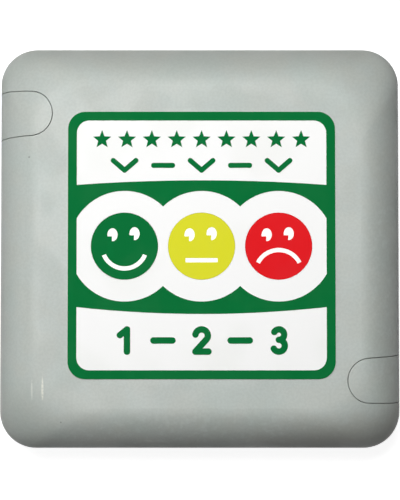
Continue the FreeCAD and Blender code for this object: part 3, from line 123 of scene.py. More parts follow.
class Coat:
    """A material while it is laid, pattern over pattern, on one Principled shader."""

    def __init__(
        self,
        name: str,
        colour: str,
        roughness: float,
        ior: float | None = None,
        metallic: float = 0.0,
        reflects: float = 0.5,
    ) -> None:
        """Starts a plain material.

        Args:
            name: the material's name.
            colour: its base colour as sRGB hex.
            roughness: its roughness before any pattern.
            ior: its refractive index, or None for a metal, which keeps the default.
            metallic: 1 for a metal.
            reflects: 0.5 where its face reflects as its index says, less where it scatters.
        """
        self.material = bpy.data.materials.new(name)
        self.material.use_nodes = True
        self.tree = self.material.node_tree
        self.tree.nodes.clear()
        values = {
            "Base Color": linear(colour),
            "Roughness": roughness,
            "Metallic": metallic,
            "Specular IOR Level": reflects,
        }
        if ior is not None:
            values["IOR"] = ior
        self.shader = add_node(self.tree, "ShaderNodeBsdfPrincipled", values=values)
        add_node(
            self.tree, "ShaderNodeOutputMaterial", links={"Surface": self.shader.outputs["BSDF"]}
        )
        self.place = add_node(self.tree, "ShaderNodeTexCoord").outputs["Object"]

    def clouds(
        self,
        size_mm: float,
        low: float = 0.4,
        high: float = 0.6,
        detail: float = 2.0,
        along: Triple = (1, 1, 1),
        within: Socket | None = None,
    ) -> Socket:
        """Makes a mask of soft patches.

        Args:
            size_mm: the size of a patch.
            low: the noise level where the mask is 0.
            high: the noise level where the mask is 1.
            detail: how many finer layers the patches have.
            along: how much the patches are squeezed along each axis.
            within: a mask that the patches stay inside, if any.

        Returns:
            The mask, from 0 to 1.
        """
        product = {"operation": "MULTIPLY"}
        squeezed = add_node(
            self.tree, "ShaderNodeVectorMath", product, {1: along}, {0: self.place}
        )
        noise = add_node(
            self.tree,
            "ShaderNodeTexNoise",
            values={"Scale": 1 / (size_mm * MM), "Detail": detail},
            links={"Vector": squeezed.outputs[0]},
        )
        patches = add_node(
            self.tree,
            "ShaderNodeMapRange",
            SMOOTH,
            {"From Min": low, "From Max": high},
            {"Value": noise.outputs["Factor" if "Factor" in noise.outputs else "Fac"]},
        ).outputs["Result"]
        if within is None:
            return patches
        links = {0: within, 1: patches}
        return add_node(self.tree, "ShaderNodeMath", product, links=links).outputs[0]

    def dots(self, pitch_mm: float, size_mm: float, softness: float = 0.4) -> Socket:
        """Makes a mask of scattered round dots.

        Args:
            pitch_mm: about how far the dots lie apart.
            size_mm: a dot's diameter.
            softness: the share of a dot's radius over which it fades.

        Returns:
            The mask, 1 inside a dot.
        """
        cells = add_node(
            self.tree,
            "ShaderNodeTexVoronoi",
            values={"Scale": 1 / (pitch_mm * MM)},
            links={"Vector": self.place},
        )
        radius = size_mm / 2 / pitch_mm
        return add_node(
            self.tree,
            "ShaderNodeMapRange",
            SMOOTH,
            {"From Min": radius * (1 - softness), "From Max": radius, "To Min": 1.0, "To Max": 0.0},
            {"Value": cells.outputs["Distance"]},
        ).outputs["Result"]

    def spot(self, centre: Triple, half: Triple, core: float = 0.45) -> Socket:
        """Makes a mask of one soft oval spot.

        Args:
            centre: the middle of the spot.
            half: its half sizes along each axis.
            core: the share of it that is full, before it fades.

        Returns:
            The mask, 1 in the middle and 0 outside.
        """
        reach = self.place
        for operation, by in (("SUBTRACT", centre), ("DIVIDE", half)):
            settings = {"operation": operation}
            step = add_node(self.tree, "ShaderNodeVectorMath", settings, {1: by}, {0: reach})
            reach = step.outputs[0]
        length = add_node(
            self.tree, "ShaderNodeVectorMath", {"operation": "LENGTH"}, links={0: reach}
        )
        return add_node(
            self.tree,
            "ShaderNodeMapRange",
            SMOOTH,
            {"From Min": core, "From Max": 1.0, "To Min": 1.0, "To Max": 0.0},
            {"Value": length.outputs["Value"]},
        ).outputs["Result"]

    def tint(self, mask: Socket, colour: str, share: float = 1.0) -> None:
        """Lays another colour over what is there.

        Args:
            mask: where it goes, from 0 to 1.
            colour: the colour as sRGB hex.
            share: how much of it shows where the mask is 1.
        """
        base = self.shader.inputs["Base Color"]
        strength = add_node(
            self.tree, "ShaderNodeMath", {"operation": "MULTIPLY"}, {1: share}, {0: mask}
        )
        # A colour mix takes its two colours on sockets 6 and 7 and gives its result on output 2.
        mix = add_node(
            self.tree,
            "ShaderNodeMix",
            {"data_type": "RGBA"},
            {6: base.default_value, 7: linear(colour)},
            {0: strength.outputs[0]},
        )
        if base.is_linked:
            self.tree.links.new(base.links[0].from_socket, mix.inputs[6])
        self.tree.links.new(mix.outputs[2], base)

    def gloss(self, mask: Socket, dull: float, shiny: float) -> None:
        """Lets the roughness change with a mask.

        Args:
            mask: from 0, dull, to 1, shiny.
            dull: the roughness where the mask is 0.
            shiny: the roughness where the mask is 1.
        """
        ramp = add_node(
            self.tree,
            "ShaderNodeMapRange",
            values={"To Min": dull, "To Max": shiny},
            links={"Value": mask},
        )
        self.tree.links.new(ramp.outputs["Result"], self.shader.inputs["Roughness"])

    def relief(self, mask: Socket, height_mm: float) -> None:
        """Raises the surface where a mask is 1, over the relief that is there.

        Args:
            mask: from 0, low, to 1, high.
            height_mm: how high it rises, or sinks if negative.
        """
        normal = self.shader.inputs["Normal"]
        settings = {"invert": height_mm < 0}
        values = {"Strength": 1.0, "Distance": abs(height_mm) * MM}
        bump = add_node(self.tree, "ShaderNodeBump", settings, values, {"Height": mask})
        if normal.is_linked:
            self.tree.links.new(normal.links[0].from_socket, bump.inputs["Normal"])
        self.tree.links.new(bump.outputs["Normal"], normal)


# ------------------------------------------------------------------ finishes


@dataclass(frozen=True)
class Mark:
    """A faint mark on the front of the case, in millimetres from its middle: a speck or a scuff of
    use, a pale streak that is a painted highlight, or a darker patch of painted shade.

    Its depth is how far it reaches down from the front, and its patch is the size of the spots
    that it breaks into.
    """

    x: float
    y: float
    half_width: float
    half_length: float
    colour: str
    share: float
    depth: float = 3.0
    patch: float = 1.6


@dataclass(frozen=True)
class RimShadeAndGrime(Mark):
    """A wide darker mark on the rims that reaches down the sides: painted shade where the rims turn
    away from the lamps, with some dirt of handling.
    """

    colour: str = "#7C786F"
    share: float = 0.24
    depth: float = 50.0
    patch: float = 45.0


@dataclass(frozen=True)
class Finish:
    """What every finish is: it makes one material and dresses pieces with it."""

    name: str

    def coat(self) -> Coat:
        """Lays the finish, in a way of its own."""
        raise NotImplementedError

    def made(self) -> bpy.types.Material:
        """Gives the material, which is laid once and then shared."""
        return bpy.data.materials.get(self.name) or self.coat().material

    def dress(self, piece: bpy.types.Object) -> None:
        """Puts the material in every material slot of a piece.

        Args:
            piece: the piece, with or without slots.
        """
        if not piece.material_slots:
            piece.data.materials.append(None)
        for place in piece.material_slots:
            place.material = self.made()


@dataclass(frozen=True)
class MouldedAbs(Finish):
    """ABS, injection moulded in a spark eroded tool: an even satin grey that hides scratches.

    The eye sees a soft, wide highlight, a barely visible grain and, after years on a counter, a
    few dark specks and a scuff; two pale streaks are painted highlights, and the darker rims are
    painted shade with some dirt.
    """

    name: str = "moulded_abs_light_grey"
    colour: str = "#B5BCB7"
    edge_radius: float = 0.3 * MM
    front_z: float = 39.5 * MM
    marks: tuple[Mark, ...] = ()

    def coat(self) -> Coat:
        """Lays tone, grain, specks, marks of use, painted highlights and painted shade.

        Returns:
            The laid coat.
        """
        coat = Coat(self.name, self.colour, 0.5, ior=1.54)
        # No moulded edge is quite sharp: light catches each as if a small radius broke it.
        softened = add_node(
            coat.tree, "ShaderNodeBevel", {"samples": 6}, {"Radius": self.edge_radius}
        )
        coat.tree.links.new(softened.outputs["Normal"], coat.shader.inputs["Normal"])
        # Pigment is never spread quite evenly: warm and cool clouds some millimetres wide.
        coat.tint(coat.clouds(9.0, detail=3.0), "#B7B8AE", 0.22)
        coat.tint(coat.clouds(23.0, 0.45, 0.62), "#AAB8B2", 0.25)
        # Handling has dulled the tops of the grain, a mottle that is drawn at 0.9 mm to show.
        coat.tint(coat.clouds(0.9, 0.35, 0.65, detail=1.0), "#969D98", 0.16)
        # The spark grain is 0.1 mm wide, which is too fine to show, so it is drawn at 0.9 mm.
        coat.relief(coat.clouds(0.9, 0.3, 0.7, detail=1.0), 0.004)
        coat.gloss(coat.clouds(14.0), 0.54, 0.46)
        # Dust that sits in the grain.
        coat.tint(coat.dots(21.0, 0.7), "#8A8F89", 0.5)
        # The marks are specks and a scuff of use, two pale streaks that are painted highlights, and
        # darker patches on the rims that are painted shade with some dirt.
        for mark in self.marks:
            centre = (mark.x * MM, mark.y * MM, self.front_z)
            half = (mark.half_width * MM, mark.half_length * MM, mark.depth * MM)
            wear_and_light_mask = coat.clouds(mark.patch, 0.3, 0.5, within=coat.spot(centre, half))
            coat.tint(wear_and_light_mask, mark.colour, mark.share)
        return coat


@dataclass(frozen=True)
class SatinFilm(Finish):
    """Polyester film under a matt laminate, cut from sheet: a bright, even white with no glare."""

    name: str = "satin_polyester_film"
    colour: str = "#FBFBFA"

    def coat(self) -> Coat:
        """Lays the fine hard coat of the film.

        Returns:
            The laid coat.
        """
        coat = Coat(self.name, self.colour, 0.6, ior=1.6, reflects=0.05)
        # The hard coat's grain is some hundredths of a millimetre wide and is drawn at 0.7 mm.
        coat.relief(coat.clouds(0.7, 0.3, 0.7, detail=1.0), 0.0015)
        coat.tint(coat.clouds(30.0, 0.45, 0.65), "#F4F5F2", 0.6)
        coat.gloss(coat.clouds(18.0), 0.64, 0.56)
        return coat


@dataclass(frozen=True)
class ScreenInk(Finish):
    """Solvent ink, screen printed in one pass: a flat, dense colour, duller than the film."""

    name: str
    colour: str
    thin_colour: str

    def coat(self) -> Coat:
        """Lays the ink with the faint unevenness that the squeegee leaves.

        Returns:
            The laid coat.
        """
        coat = Coat(self.name, self.colour, 0.6, ior=1.52, reflects=0.05)
        coat.relief(coat.clouds(0.7, 0.3, 0.7, detail=1.0), 0.0015)
        # The squeegee runs down the sheet, so the thin places are long and upright.
        coat.tint(coat.clouds(5.0, 0.45, 0.7, along=(1.0, 0.25, 1.0)), self.thin_colour, 0.35)
        coat.gloss(coat.clouds(12.0), 0.65, 0.55)
        return coat


@dataclass(frozen=True)
class PolishedAbs(Finish):
    """ABS moulded in a polished tool: smooth white with a faint flow pattern."""

    name: str = "polished_abs_white"
    colour: str = "#F2F2EF"

    def coat(self) -> Coat:
        """Lays the flow lines, which run round the gate.

        Returns:
            The laid coat.
        """
        coat = Coat(self.name, self.colour, 0.3, ior=1.54)
        coat.tint(coat.clouds(4.0, along=(1.0, 1.0, 0.3)), "#E6E7E2", 0.4)
        coat.gloss(coat.clouds(3.0), 0.34, 0.26)
        return coat


@dataclass(frozen=True)
class ZincPlate(Finish):
    """Steel with bright zinc, barrel plated: pale metal with a cloudy, faintly blue shine."""

    name: str = "barrel_plated_zinc"
    colour: str = "#C4C8CA"

    def coat(self) -> Coat:
        """Lays the tumbling marks and the cloudy passivation.

        Returns:
            The laid coat.
        """
        coat = Coat(self.name, self.colour, 0.34, metallic=1.0)
        coat.tint(coat.clouds(1.2), "#B4B7A9", 0.5)
        coat.tint(coat.clouds(0.5, 0.5, 0.7), "#9DA6B4", 0.4)
        coat.relief(coat.clouds(0.25), 0.004)
        coat.gloss(coat.clouds(0.8), 0.42, 0.26)
        return coat


@dataclass(frozen=True)
class NickelPlatedSheet(Finish):
    """Nickel plated spring sheet, rolled: white metal with fine lines along the rolling way."""

    name: str = "rolled_nickel_plate"
    colour: str = "#CBCAC4"

    def coat(self) -> Coat:
        """Lays the rolling lines, which are 0.02 mm wide and drawn at 0.15 mm.

        Returns:
            The laid coat.
        """
        coat = Coat(self.name, self.colour, 0.28, metallic=1.0)
        lines = coat.clouds(0.15, detail=1.0, along=(0.08, 1.0, 1.0))
        coat.tint(lines, "#B3B2AC", 0.35)
        coat.relief(lines, 0.001)
        coat.gloss(coat.clouds(2.0), 0.34, 0.22)
        return coat


@dataclass(frozen=True)
class SolderMask(Finish):
    """Glass fibre board under green solder resist: glossy green with paler copper runs below."""

    name: str = "solder_resist_green"
    colour: str = "#0C5A34"
    run_colour: str = "#2E8A50"
    run_width: float = 0.3 * MM
    run_pitch: float = 1.27 * MM
    run_length: float = 6.35 * MM

    def coat(self) -> Coat:
        """Lays the copper runs and the weave of the glass below.

        Returns:
            The laid coat.
        """
        coat = Coat(self.name, self.colour, 0.25, ior=1.52)
        runs = add_node(
            coat.tree,
            "ShaderNodeTexBrick",
            {"offset": 0.37, "offset_frequency": 3, "squash": 2.1, "squash_frequency": 4},
            {
                "Color1": (0, 0, 0, 1),
                "Color2": (0, 0, 0, 1),
                "Mortar": (1, 1, 1, 1),
                "Scale": 1.0,
                "Mortar Size": self.run_width / 2,
                "Mortar Smooth": 0.1,
                "Brick Width": self.run_length,
                "Row Height": self.run_pitch,
            },
            {"Vector": coat.place},
        ).outputs["Color"]
        routed = coat.clouds(9.0, 0.48, 0.5, within=runs)
        coat.tint(routed, self.run_colour)
        coat.relief(routed, 0.02)
        coat.relief(coat.clouds(0.5, along=(1.0, 0.3, 1.0)), 0.002)
        coat.gloss(coat.clouds(6.0), 0.3, 0.2)
        return coat


@dataclass(frozen=True)
class BlackMoulding(Finish):
    """Glass filled nylon or epoxy, moulded: deep grey black with a dry, slightly speckled face."""

    name: str = "filled_black_moulding"
    colour: str = "#1B1C1E"

    def coat(self) -> Coat:
        """Lays the fibres that show as paler flecks and the sandy grain.

        Returns:
            The laid coat.
        """
        coat = Coat(self.name, self.colour, 0.5, ior=1.53)
        coat.tint(coat.clouds(0.4, 0.55, 0.75, along=(1.0, 0.2, 1.0)), "#34363A", 0.5)
        coat.relief(coat.clouds(0.3), 0.006)
        coat.gloss(coat.clouds(2.0), 0.56, 0.44)
        return coat


@dataclass(frozen=True)
class NaturalNylon(Finish):
    """Unfilled nylon, moulded without pigment: milky ivory with a waxy shine."""

    name: str = "natural_nylon"
    colour: str = "#E6DFCB"

    def coat(self) -> Coat:
        """Lays the milky clouds of the natural resin.

        Returns:
            The laid coat.
        """
        coat = Coat(self.name, self.colour, 0.38, ior=1.53)
        coat.tint(coat.clouds(1.5), "#D9CFB4", 0.5)
        coat.relief(coat.clouds(0.4), 0.003)
        coat.gloss(coat.clouds(1.0), 0.42, 0.34)
        return coat


@dataclass(frozen=True)
class DrawnBronzeWire(Finish):
    """Drawn phosphor bronze wire: warm metal with draw lines along it and a little tarnish."""

    name: str = "drawn_bronze_wire"
    colour: str = "#C98F4E"

    def coat(self) -> Coat:
        """Lays draw lines and brown tarnish.

        Returns:
            The laid coat.
        """
        coat = Coat(self.name, self.colour, 0.3, metallic=1.0)
        coat.tint(coat.clouds(1.8, 0.45, 0.7), "#8A5B36", 0.5)
        coat.relief(coat.clouds(0.12, along=(0.05, 1.0, 1.0)), 0.001)
        coat.gloss(coat.clouds(2.0), 0.38, 0.26)
        return coat


@dataclass(frozen=True)
class ExtrudedPvc(Finish):
    """Extruded PVC insulation: an even colour with a soft shine and faint lines along the wire."""

    name: str
    colour: str
    worn_colour: str

    def coat(self) -> Coat:
        """Lays extrusion lines and the dull bloom that old PVC gets.

        Returns:
            The laid coat.
        """
        coat = Coat(self.name, self.colour, 0.36, ior=1.53)
        coat.tint(coat.clouds(2.5), self.worn_colour, 0.4)
        coat.relief(coat.clouds(0.2, along=(0.1, 1.0, 1.0)), 0.002)
        coat.gloss(coat.clouds(1.5), 0.42, 0.3)
        return coat


@dataclass(frozen=True)
class FoamTape(Finish):
    """Closed cell polyethylene foam: dull charcoal full of tiny round pores."""

    name: str = "closed_cell_foam"
    colour: str = "#2C2D2F"

    def coat(self) -> Coat:
        """Lays pores a third of a millimetre wide, close together.

        Returns:
            The laid coat.
        """
        coat = Coat(self.name, self.colour, 0.9, ior=1.5)
        pores = coat.dots(0.45, 0.34, softness=0.8)
        # The pores are painted darker: painted shade inside the cut cells.
        coat.tint(pores, "#151516")
        coat.relief(pores, -0.05)
        return coat


@dataclass(frozen=True)
class ShrunkBlueFilm(Finish):
    """Printed PVC film, shrunk on a dry cell: dark blue grey with a copper band by the nub."""

    name: str = "shrunk_pvc_film_blue_grey"
    colour: str = "#27313F"
    band_colour: str = "#B4713C"
    band_start: float = 34.0 * MM
    band_edge: float = 0.1 * MM

    def coat(self) -> Coat:
        """Lays the band by the place along the cell, whose nub points along its own +Z.

        Returns:
            The laid coat.
        """
        coat = Coat(self.name, self.colour, 0.3, ior=1.5)
        along = add_node(coat.tree, "ShaderNodeSeparateXYZ", links={0: coat.place}).outputs["Z"]
        band = add_node(
            coat.tree,
            "ShaderNodeMapRange",
            values={"From Min": self.band_start, "From Max": self.band_start + self.band_edge},
            links={"Value": along},
        )
        coat.tint(band.outputs["Result"], self.band_colour)
        coat.tint(coat.clouds(6.0), "#3A4452", 0.15)
        # The film draws tight over the can and wrinkles a little lengthwise.
        coat.relief(coat.clouds(1.5, along=(1.0, 1.0, 0.15)), 0.01)
        coat.gloss(coat.clouds(5.0), 0.36, 0.24)
        return coat


@dataclass(frozen=True)
class MouldedRubber(Finish):
    """Nitrile rubber, compression moulded: soft black that looks grey where dust clings to it."""

    name: str = "moulded_nitrile_rubber"
    colour: str = "#1D1D1F"

    def coat(self) -> Coat:
        """Lays bloom, dust and a sandy grain.

        Returns:
            The laid coat.
        """
        coat = Coat(self.name, self.colour, 0.75, ior=1.52)
        coat.tint(coat.clouds(2.2, 0.45, 0.7), "#3B3A38", 0.6)
        coat.tint(coat.dots(1.4, 0.3), "#77736B", 0.5)
        coat.relief(coat.clouds(0.35), 0.02)
        coat.gloss(coat.clouds(2.0), 0.8, 0.62)
        return coat


@dataclass(frozen=True)
class Solder(Finish):
    """Tin solder, wave soldered: bright silver blobs, duller where the flux has dried."""

    name: str = "wave_soldered_tin"
    colour: str = "#D6D7D8"

    def coat(self) -> Coat:
        """Lays dried flux over the bright metal.

        Returns:
            The laid coat.
        """
        coat = Coat(self.name, self.colour, 0.2, metallic=1.0)
        coat.tint(coat.clouds(0.7, 0.5, 0.7), "#A79B7C", 0.4)
        coat.gloss(coat.clouds(0.5), 0.36, 0.14)
        return coat


@dataclass(frozen=True)
class ShrunkDarkFilm(Finish):
    """PVC film, shrunk on an electrolytic can: near black, with a pale stripe at the minus side."""

    name: str = "shrunk_pvc_film_near_black"
    colour: str = "#1E2330"
    stripe_colour: str = "#B9BEC4"
    stripe_x: float = 2.5 * MM
    stripe_edge: float = 0.05 * MM

    def coat(self) -> Coat:
        """Lays the stripe down the side that faces +X.

        Returns:
            The laid coat.
        """
        coat = Coat(self.name, self.colour, 0.32, ior=1.5)
        across = add_node(coat.tree, "ShaderNodeSeparateXYZ", links={0: coat.place}).outputs["X"]
        stripe = add_node(
            coat.tree,
            "ShaderNodeMapRange",
            values={"From Min": self.stripe_x, "From Max": self.stripe_x + self.stripe_edge},
            links={"Value": across},
        )
        coat.tint(stripe.outputs["Result"], self.stripe_colour)
        coat.tint(coat.clouds(3.0), "#2C3242", 0.2)
        coat.relief(coat.clouds(0.9, along=(1.0, 1.0, 0.2)), 0.008)
        coat.gloss(coat.clouds(2.0), 0.38, 0.26)
        return coat


@dataclass(frozen=True)
class DrawnAluminium(Finish):
    """Aluminium, deep drawn: soft grey white with a cloudy shine and a pressed safety cross."""

    name: str = "drawn_aluminium"
    colour: str = "#D5D7D9"
    cross_length: float = 5.2 * MM
    cross_width: float = 0.44 * MM
    end_z: float = 0.2 * MM
    cross_reach: float = 1.0 * MM

    def coat(self) -> Coat:
        """Lays the two lines of the cross, sunk by 0.1 mm, and a cloudy shine.

        Returns:
            The laid coat.
        """
        coat = Coat(self.name, self.colour, 0.3, metallic=1.0)
        long, wide = self.cross_length / 2, self.cross_width / 2
        for half in ((long, wide, self.cross_reach), (wide, long, self.cross_reach)):
            coat.relief(coat.spot((0.0, 0.0, self.end_z), half), -0.1)
        coat.tint(coat.clouds(0.8), "#C1C3C4", 0.4)
        coat.gloss(coat.clouds(1.2), 0.36, 0.24)
        return coat


@dataclass(frozen=True)
class Ceramic(Finish):
    """Fired ceramic of chip parts: dry beige, with the odd darker grain."""

    name: str = "fired_ceramic"
    colour: str = "#A58B6A"

    def coat(self) -> Coat:
        """Lays the grain of the ceramic.

        Returns:
            The laid coat.
        """
        coat = Coat(self.name, self.colour, 0.6, ior=1.6)
        coat.tint(coat.clouds(0.3), "#8C7355", 0.6)
        coat.relief(coat.clouds(0.15), 0.004)
        return coat


class Ink(Enum):
    """The printing inks of the label and of the keys' faces."""

    GREEN = ScreenInk("screen_ink_green", "#006E35", "#007439")
    YELLOW = ScreenInk("screen_ink_yellow", "#DEDD2C", "#DBDB34")
    RED = ScreenInk("screen_ink_red", "#E41A21", "#E02028")


# ------------------------------------------------------------------ meshes


def new_piece(name: str, mesh_data: bmesh.types.BMesh) -> bpy.types.Object:
    """Turns a bmesh into an object of the scene, smooth but for its sharp edges.

    Args:
        name: the piece's name.
        mesh_data: its mesh, which is freed.

    Returns:
        The new object.
    """
    bmesh.ops.recalc_face_normals(mesh_data, faces=mesh_data.faces)
    for face in mesh_data.faces:
        face.smooth = True
    for edge in mesh_data.edges:
        edge.smooth = len(edge.link_faces) == 2 and edge.calc_face_angle(0.0) < CREASE
    mesh = bpy.data.meshes.new(name)
    mesh_data.to_mesh(mesh)
    mesh_data.free()
    piece = bpy.data.objects.new(name, mesh)
    bpy.context.scene.collection.objects.link(piece)
    return piece


def fitted(
    piece: bpy.types.Object, finish: Finish, stands_for: str | None = None
) -> bpy.types.Object:
    """Dresses a piece of the case and lets it ride on it.

    Args:
        piece: the piece, in its place.
        finish: what it is dressed with.
        stands_for: the plain node that it hides, if any.

    Returns:
        The piece.
    """
    finish.dress(piece)
    if stands_for:
        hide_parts(stands_for)
    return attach(piece, "case")


def upright(node: str) -> tuple[Triple, float, float]:
    """Measures a round node that stands along Z.

    Args:
        node: its name.

    Returns:
        The middle of its underside, its radius and its height.
    """
    low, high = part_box(node)
    foot = ((low.x + high.x) / 2, (low.y + high.y) / 2, low.z)
    return foot, (high.x - low.x) / 2, high.z - low.z


def rounded(corners: Profile, radius: float, steps: int = 5) -> Profile:
    """Rounds the inner corners of an open profile.

    Args:
        corners: the profile's points.
        radius: the radius of each round, cut down where a side is short.
        steps: how many pieces each round has.

    Returns:
        The points of the rounded profile.
    """
    points = [Vector(corner) for corner in corners]
    result = [tuple(points[0])]
    for before, corner, after in zip(points, points[1:], points[2:]):
        back, ahead = before - corner, after - corner
        half_turn = (math.pi - back.angle(ahead)) / 2
        leg = min(radius * math.tan(half_turn), 0.45 * back.length, 0.45 * ahead.length)
        start, end = corner + back.normalized() * leg, corner + ahead.normalized() * leg
        for step in range(steps + 1):
            share = step / steps
            bend = start.lerp(corner, share).lerp(corner.lerp(end, share), share)
            result.append(tuple(bend))
    result.append(tuple(points[-1]))
    return result


def skinned(mesh: bmesh.types.BMesh, rings: Sequence[Sequence[bmesh.types.BMVert]]) -> None:
    """Lays faces between neighbouring rings of corners.

    Args:
        mesh: the mesh that holds the corners.
        rings: the rings in order, all of one length but for those that are a single point.
    """
    segments = max(len(ring) for ring in rings)
    for low, high in zip(rings, rings[1:]):
        for step in range(segments):
            after = (step + 1) % segments
            lower = [low[step % len(low)], low[after % len(low)]]
            upper = [high[after % len(high)], high[step % len(high)]]
            corners = list(dict.fromkeys(lower + upper))
            if len(corners) > 2:
                mesh.faces.new(corners)


def turned(profile: Profile, segments: int = 48) -> bmesh.types.BMesh:
    """Turns a profile of (radius, height) points round the Z axis.

    Args:
        profile: the points, from one end of the axis to the other.
        segments: how many faces go round.

    Returns:
        The mesh, closed where the profile starts and ends on the axis.
    """
    mesh = bmesh.new()
    rows = []
    for radius, height in profile:
        if radius < 1e-7:
            rows.append([mesh.verts.new((0, 0, height))])
            continue
        turns = [2 * math.pi * step / segments for step in range(segments)]
        rows.append(
            [mesh.verts.new((radius * math.cos(a), radius * math.sin(a), height)) for a in turns]
        )
    skinned(mesh, rows)
    return mesh


def threaded(
    core: float,
    crest: float,
    pitch: float,
    length: float,
    segments: int = 24,
    rows_per_turn: int = 8,
    tapered_turns: float = 2.5,
    tip_share: float = 0.25,
) -> bmesh.types.BMesh:
    """Makes a screw thread that hangs down from the origin and runs out in a point.

    Args:
        core: the radius between the threads.
        crest: the radius on the threads.
        pitch: the rise of one turn.
        length: from the origin to the point.
        segments: how many faces go round.
        rows_per_turn: how many rings of corners one turn of the thread has.
        tapered_turns: over how many turns the end narrows.
        tip_share: the share of the radius that is left there before the point.

    Returns:
        The mesh, open at the top, where the head covers it.
    """
    mesh = bmesh.new()
    steps = int(length / pitch * rows_per_turn)
    rows = []
    for row in range(steps):
        depth = length * row / steps
        fade = min(1.0, (length - depth) / (tapered_turns * pitch))
        ring = []
        for turn in range(segments):
            phase = (depth / pitch + turn / segments) % 1.0
            # The ridge takes up half of the pitch.
            ridge = max(0.0, 1.0 - 4.0 * abs(phase - 0.5))
            radius = (core + (crest - core) * ridge) * (tip_share + (1 - tip_share) * fade)
            angle = 2 * math.pi * turn / segments
            corner = (radius * math.cos(angle), radius * math.sin(angle), -depth)
            ring.append(mesh.verts.new(corner))
        rows.append(ring)
    rows.append([mesh.verts.new((0, 0, -length))])
    skinned(mesh, rows)
    return mesh


def softened_block(size: Triple, centre: Triple, radius: float) -> bmesh.types.BMesh:
    """Makes a block with rounded edges.

    Args:
        size: its width, length and height.
        centre: its middle.
        radius: the radius of its edges.

    Returns:
        The mesh.
    """
    mesh = bmesh.new()
    place = Matrix.Translation(centre) @ Matrix.Diagonal((*size, 1.0))
    bmesh.ops.create_cube(mesh, size=1.0, matrix=place)
    bmesh.ops.bevel(
        mesh, geom=list(mesh.edges), offset=radius, segments=3, profile=0.5, affect="EDGES"
    )
    return mesh


def gathered(parts: Iterable[bmesh.types.BMesh]) -> bmesh.types.BMesh:
    """Puts several meshes into one.

    Args:
        parts: the meshes, which are freed.

    Returns:
        The mesh that holds them all.
    """
    whole = bmesh.new()
    for part in parts:
        scratch = bpy.data.meshes.new("scratch")
        part.to_mesh(scratch)
        part.free()
        whole.from_mesh(scratch)
        bpy.data.meshes.remove(scratch)
    return whole


class Joining(Enum):
    """What a second piece does to a first."""

    CUT_OUT = "DIFFERENCE"
    ADD = "UNION"


def combined(piece: bpy.types.Object, other: bpy.types.Object, joining: Joining) -> None:
    """Cuts another piece out of a piece or adds it, for good.

    Args:
        piece: the piece that is changed.
        other: the other piece, which is removed.
        joining: whether it is cut out or added.
    """
    change = piece.modifiers.new("change", "BOOLEAN")
    change.operation, change.solver, change.object = joining.value, "EXACT", other
    depsgraph = bpy.context.evaluated_depsgraph_get()
    mesh = bpy.data.meshes.new_from_object(piece.evaluated_get(depsgraph))
    piece.modifiers.clear()
    piece.data = mesh
    bpy.data.objects.remove(other)


# ------------------------------------------------------------------ sub-assemblies


@dataclass
class CaseShell:
    """The two case halves and the two flaps over the case screws."""

    finish: MouldedAbs = MouldedAbs(
        marks=(
            # Two pale upright streaks at the lower left are painted highlights: a lamp's reflection
            # in the rounded rim.
            Mark(-57.0, -51.9, 0.55, 5.8, "#E2E3D6", 0.75),
            Mark(-60.9, -52.2, 0.45, 5.0, "#DDE0D8", 0.5),
            Mark(-62.2, 32.7, 0.5, 0.5, "#5F635D", 0.6),
            Mark(-50.4, -63.8, 0.5, 0.5, "#5F635D", 0.6),
            Mark(-60.2, 65.3, 1.0, 2.2, "#AEB3A9", 0.5),
            # Painted shade darkens the rims and corners where they turn away from the lamps, most
            # at the lower right corner, which also has some dirt of handling.
            RimShadeAndGrime(0.0, 76.0, 130.0, 15.0),
            RimShadeAndGrime(76.0, 76.0, 42.0, 26.0, share=0.16),
            RimShadeAndGrime(-76.0, 76.0, 26.0, 26.0, share=0.12),
            RimShadeAndGrime(-76.0, -76.0, 30.0, 30.0, share=0.16),
            RimShadeAndGrime(20.0, -84.0, 110.0, 18.0),
            RimShadeAndGrime(68.0, -80.0, 70.0, 22.0, "#726E66", 0.39),
            RimShadeAndGrime(84.0, -72.0, 24.0, 30.0, "#726E66", 0.36),
            # Painted shade, broken into small patches, also lies along the lower and the right
            # side.
            RimShadeAndGrime(10.0, -72.0, 100.0, 16.0, share=0.14, patch=2.5),
            RimShadeAndGrime(74.0, -10.0, 18.0, 90.0, share=0.10, patch=2.5),
        )
    )
    nodes: tuple[str, ...] = (
        "front_cover",
        "rear_base",
        "screw_flap_upper_left",
        "screw_flap_lower_right",
    )

    def dress(self) -> None:
        """Gives both halves and the flaps the grey plastic."""
        for name in self.nodes:
            self.finish.dress(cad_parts[name])


@dataclass
class LabelSheet:
    """The printed label: white film under green ink."""

    film: SatinFilm = SatinFilm()
    ink: ScreenInk = Ink.GREEN.value

    def dress(self) -> None:
        """Dresses the film and the ink on it."""
        self.film.dress(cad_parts["overlay_film"])
        self.ink.dress(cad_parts["overlay_green_print"])


@dataclass
class OpinionKey:
    """One key with its printed face and its tactile switch."""

    name: str
    ink: Ink
    body: PolishedAbs = PolishedAbs()
    housing: BlackMoulding = BlackMoulding()
    metal: NickelPlatedSheet = NickelPlatedSheet()

    def dress(self) -> None:
        """Dresses the key, its ink and all parts of its switch."""
        finishes = {
            "key": self.body,
            "face_print": self.ink.value,
            "switch_housing": self.housing,
            "switch_plunger": self.body,
            "switch_pins": self.metal,
        }
        for part, finish in finishes.items():
            finish.dress(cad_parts[f"{self.name}_{part}"])


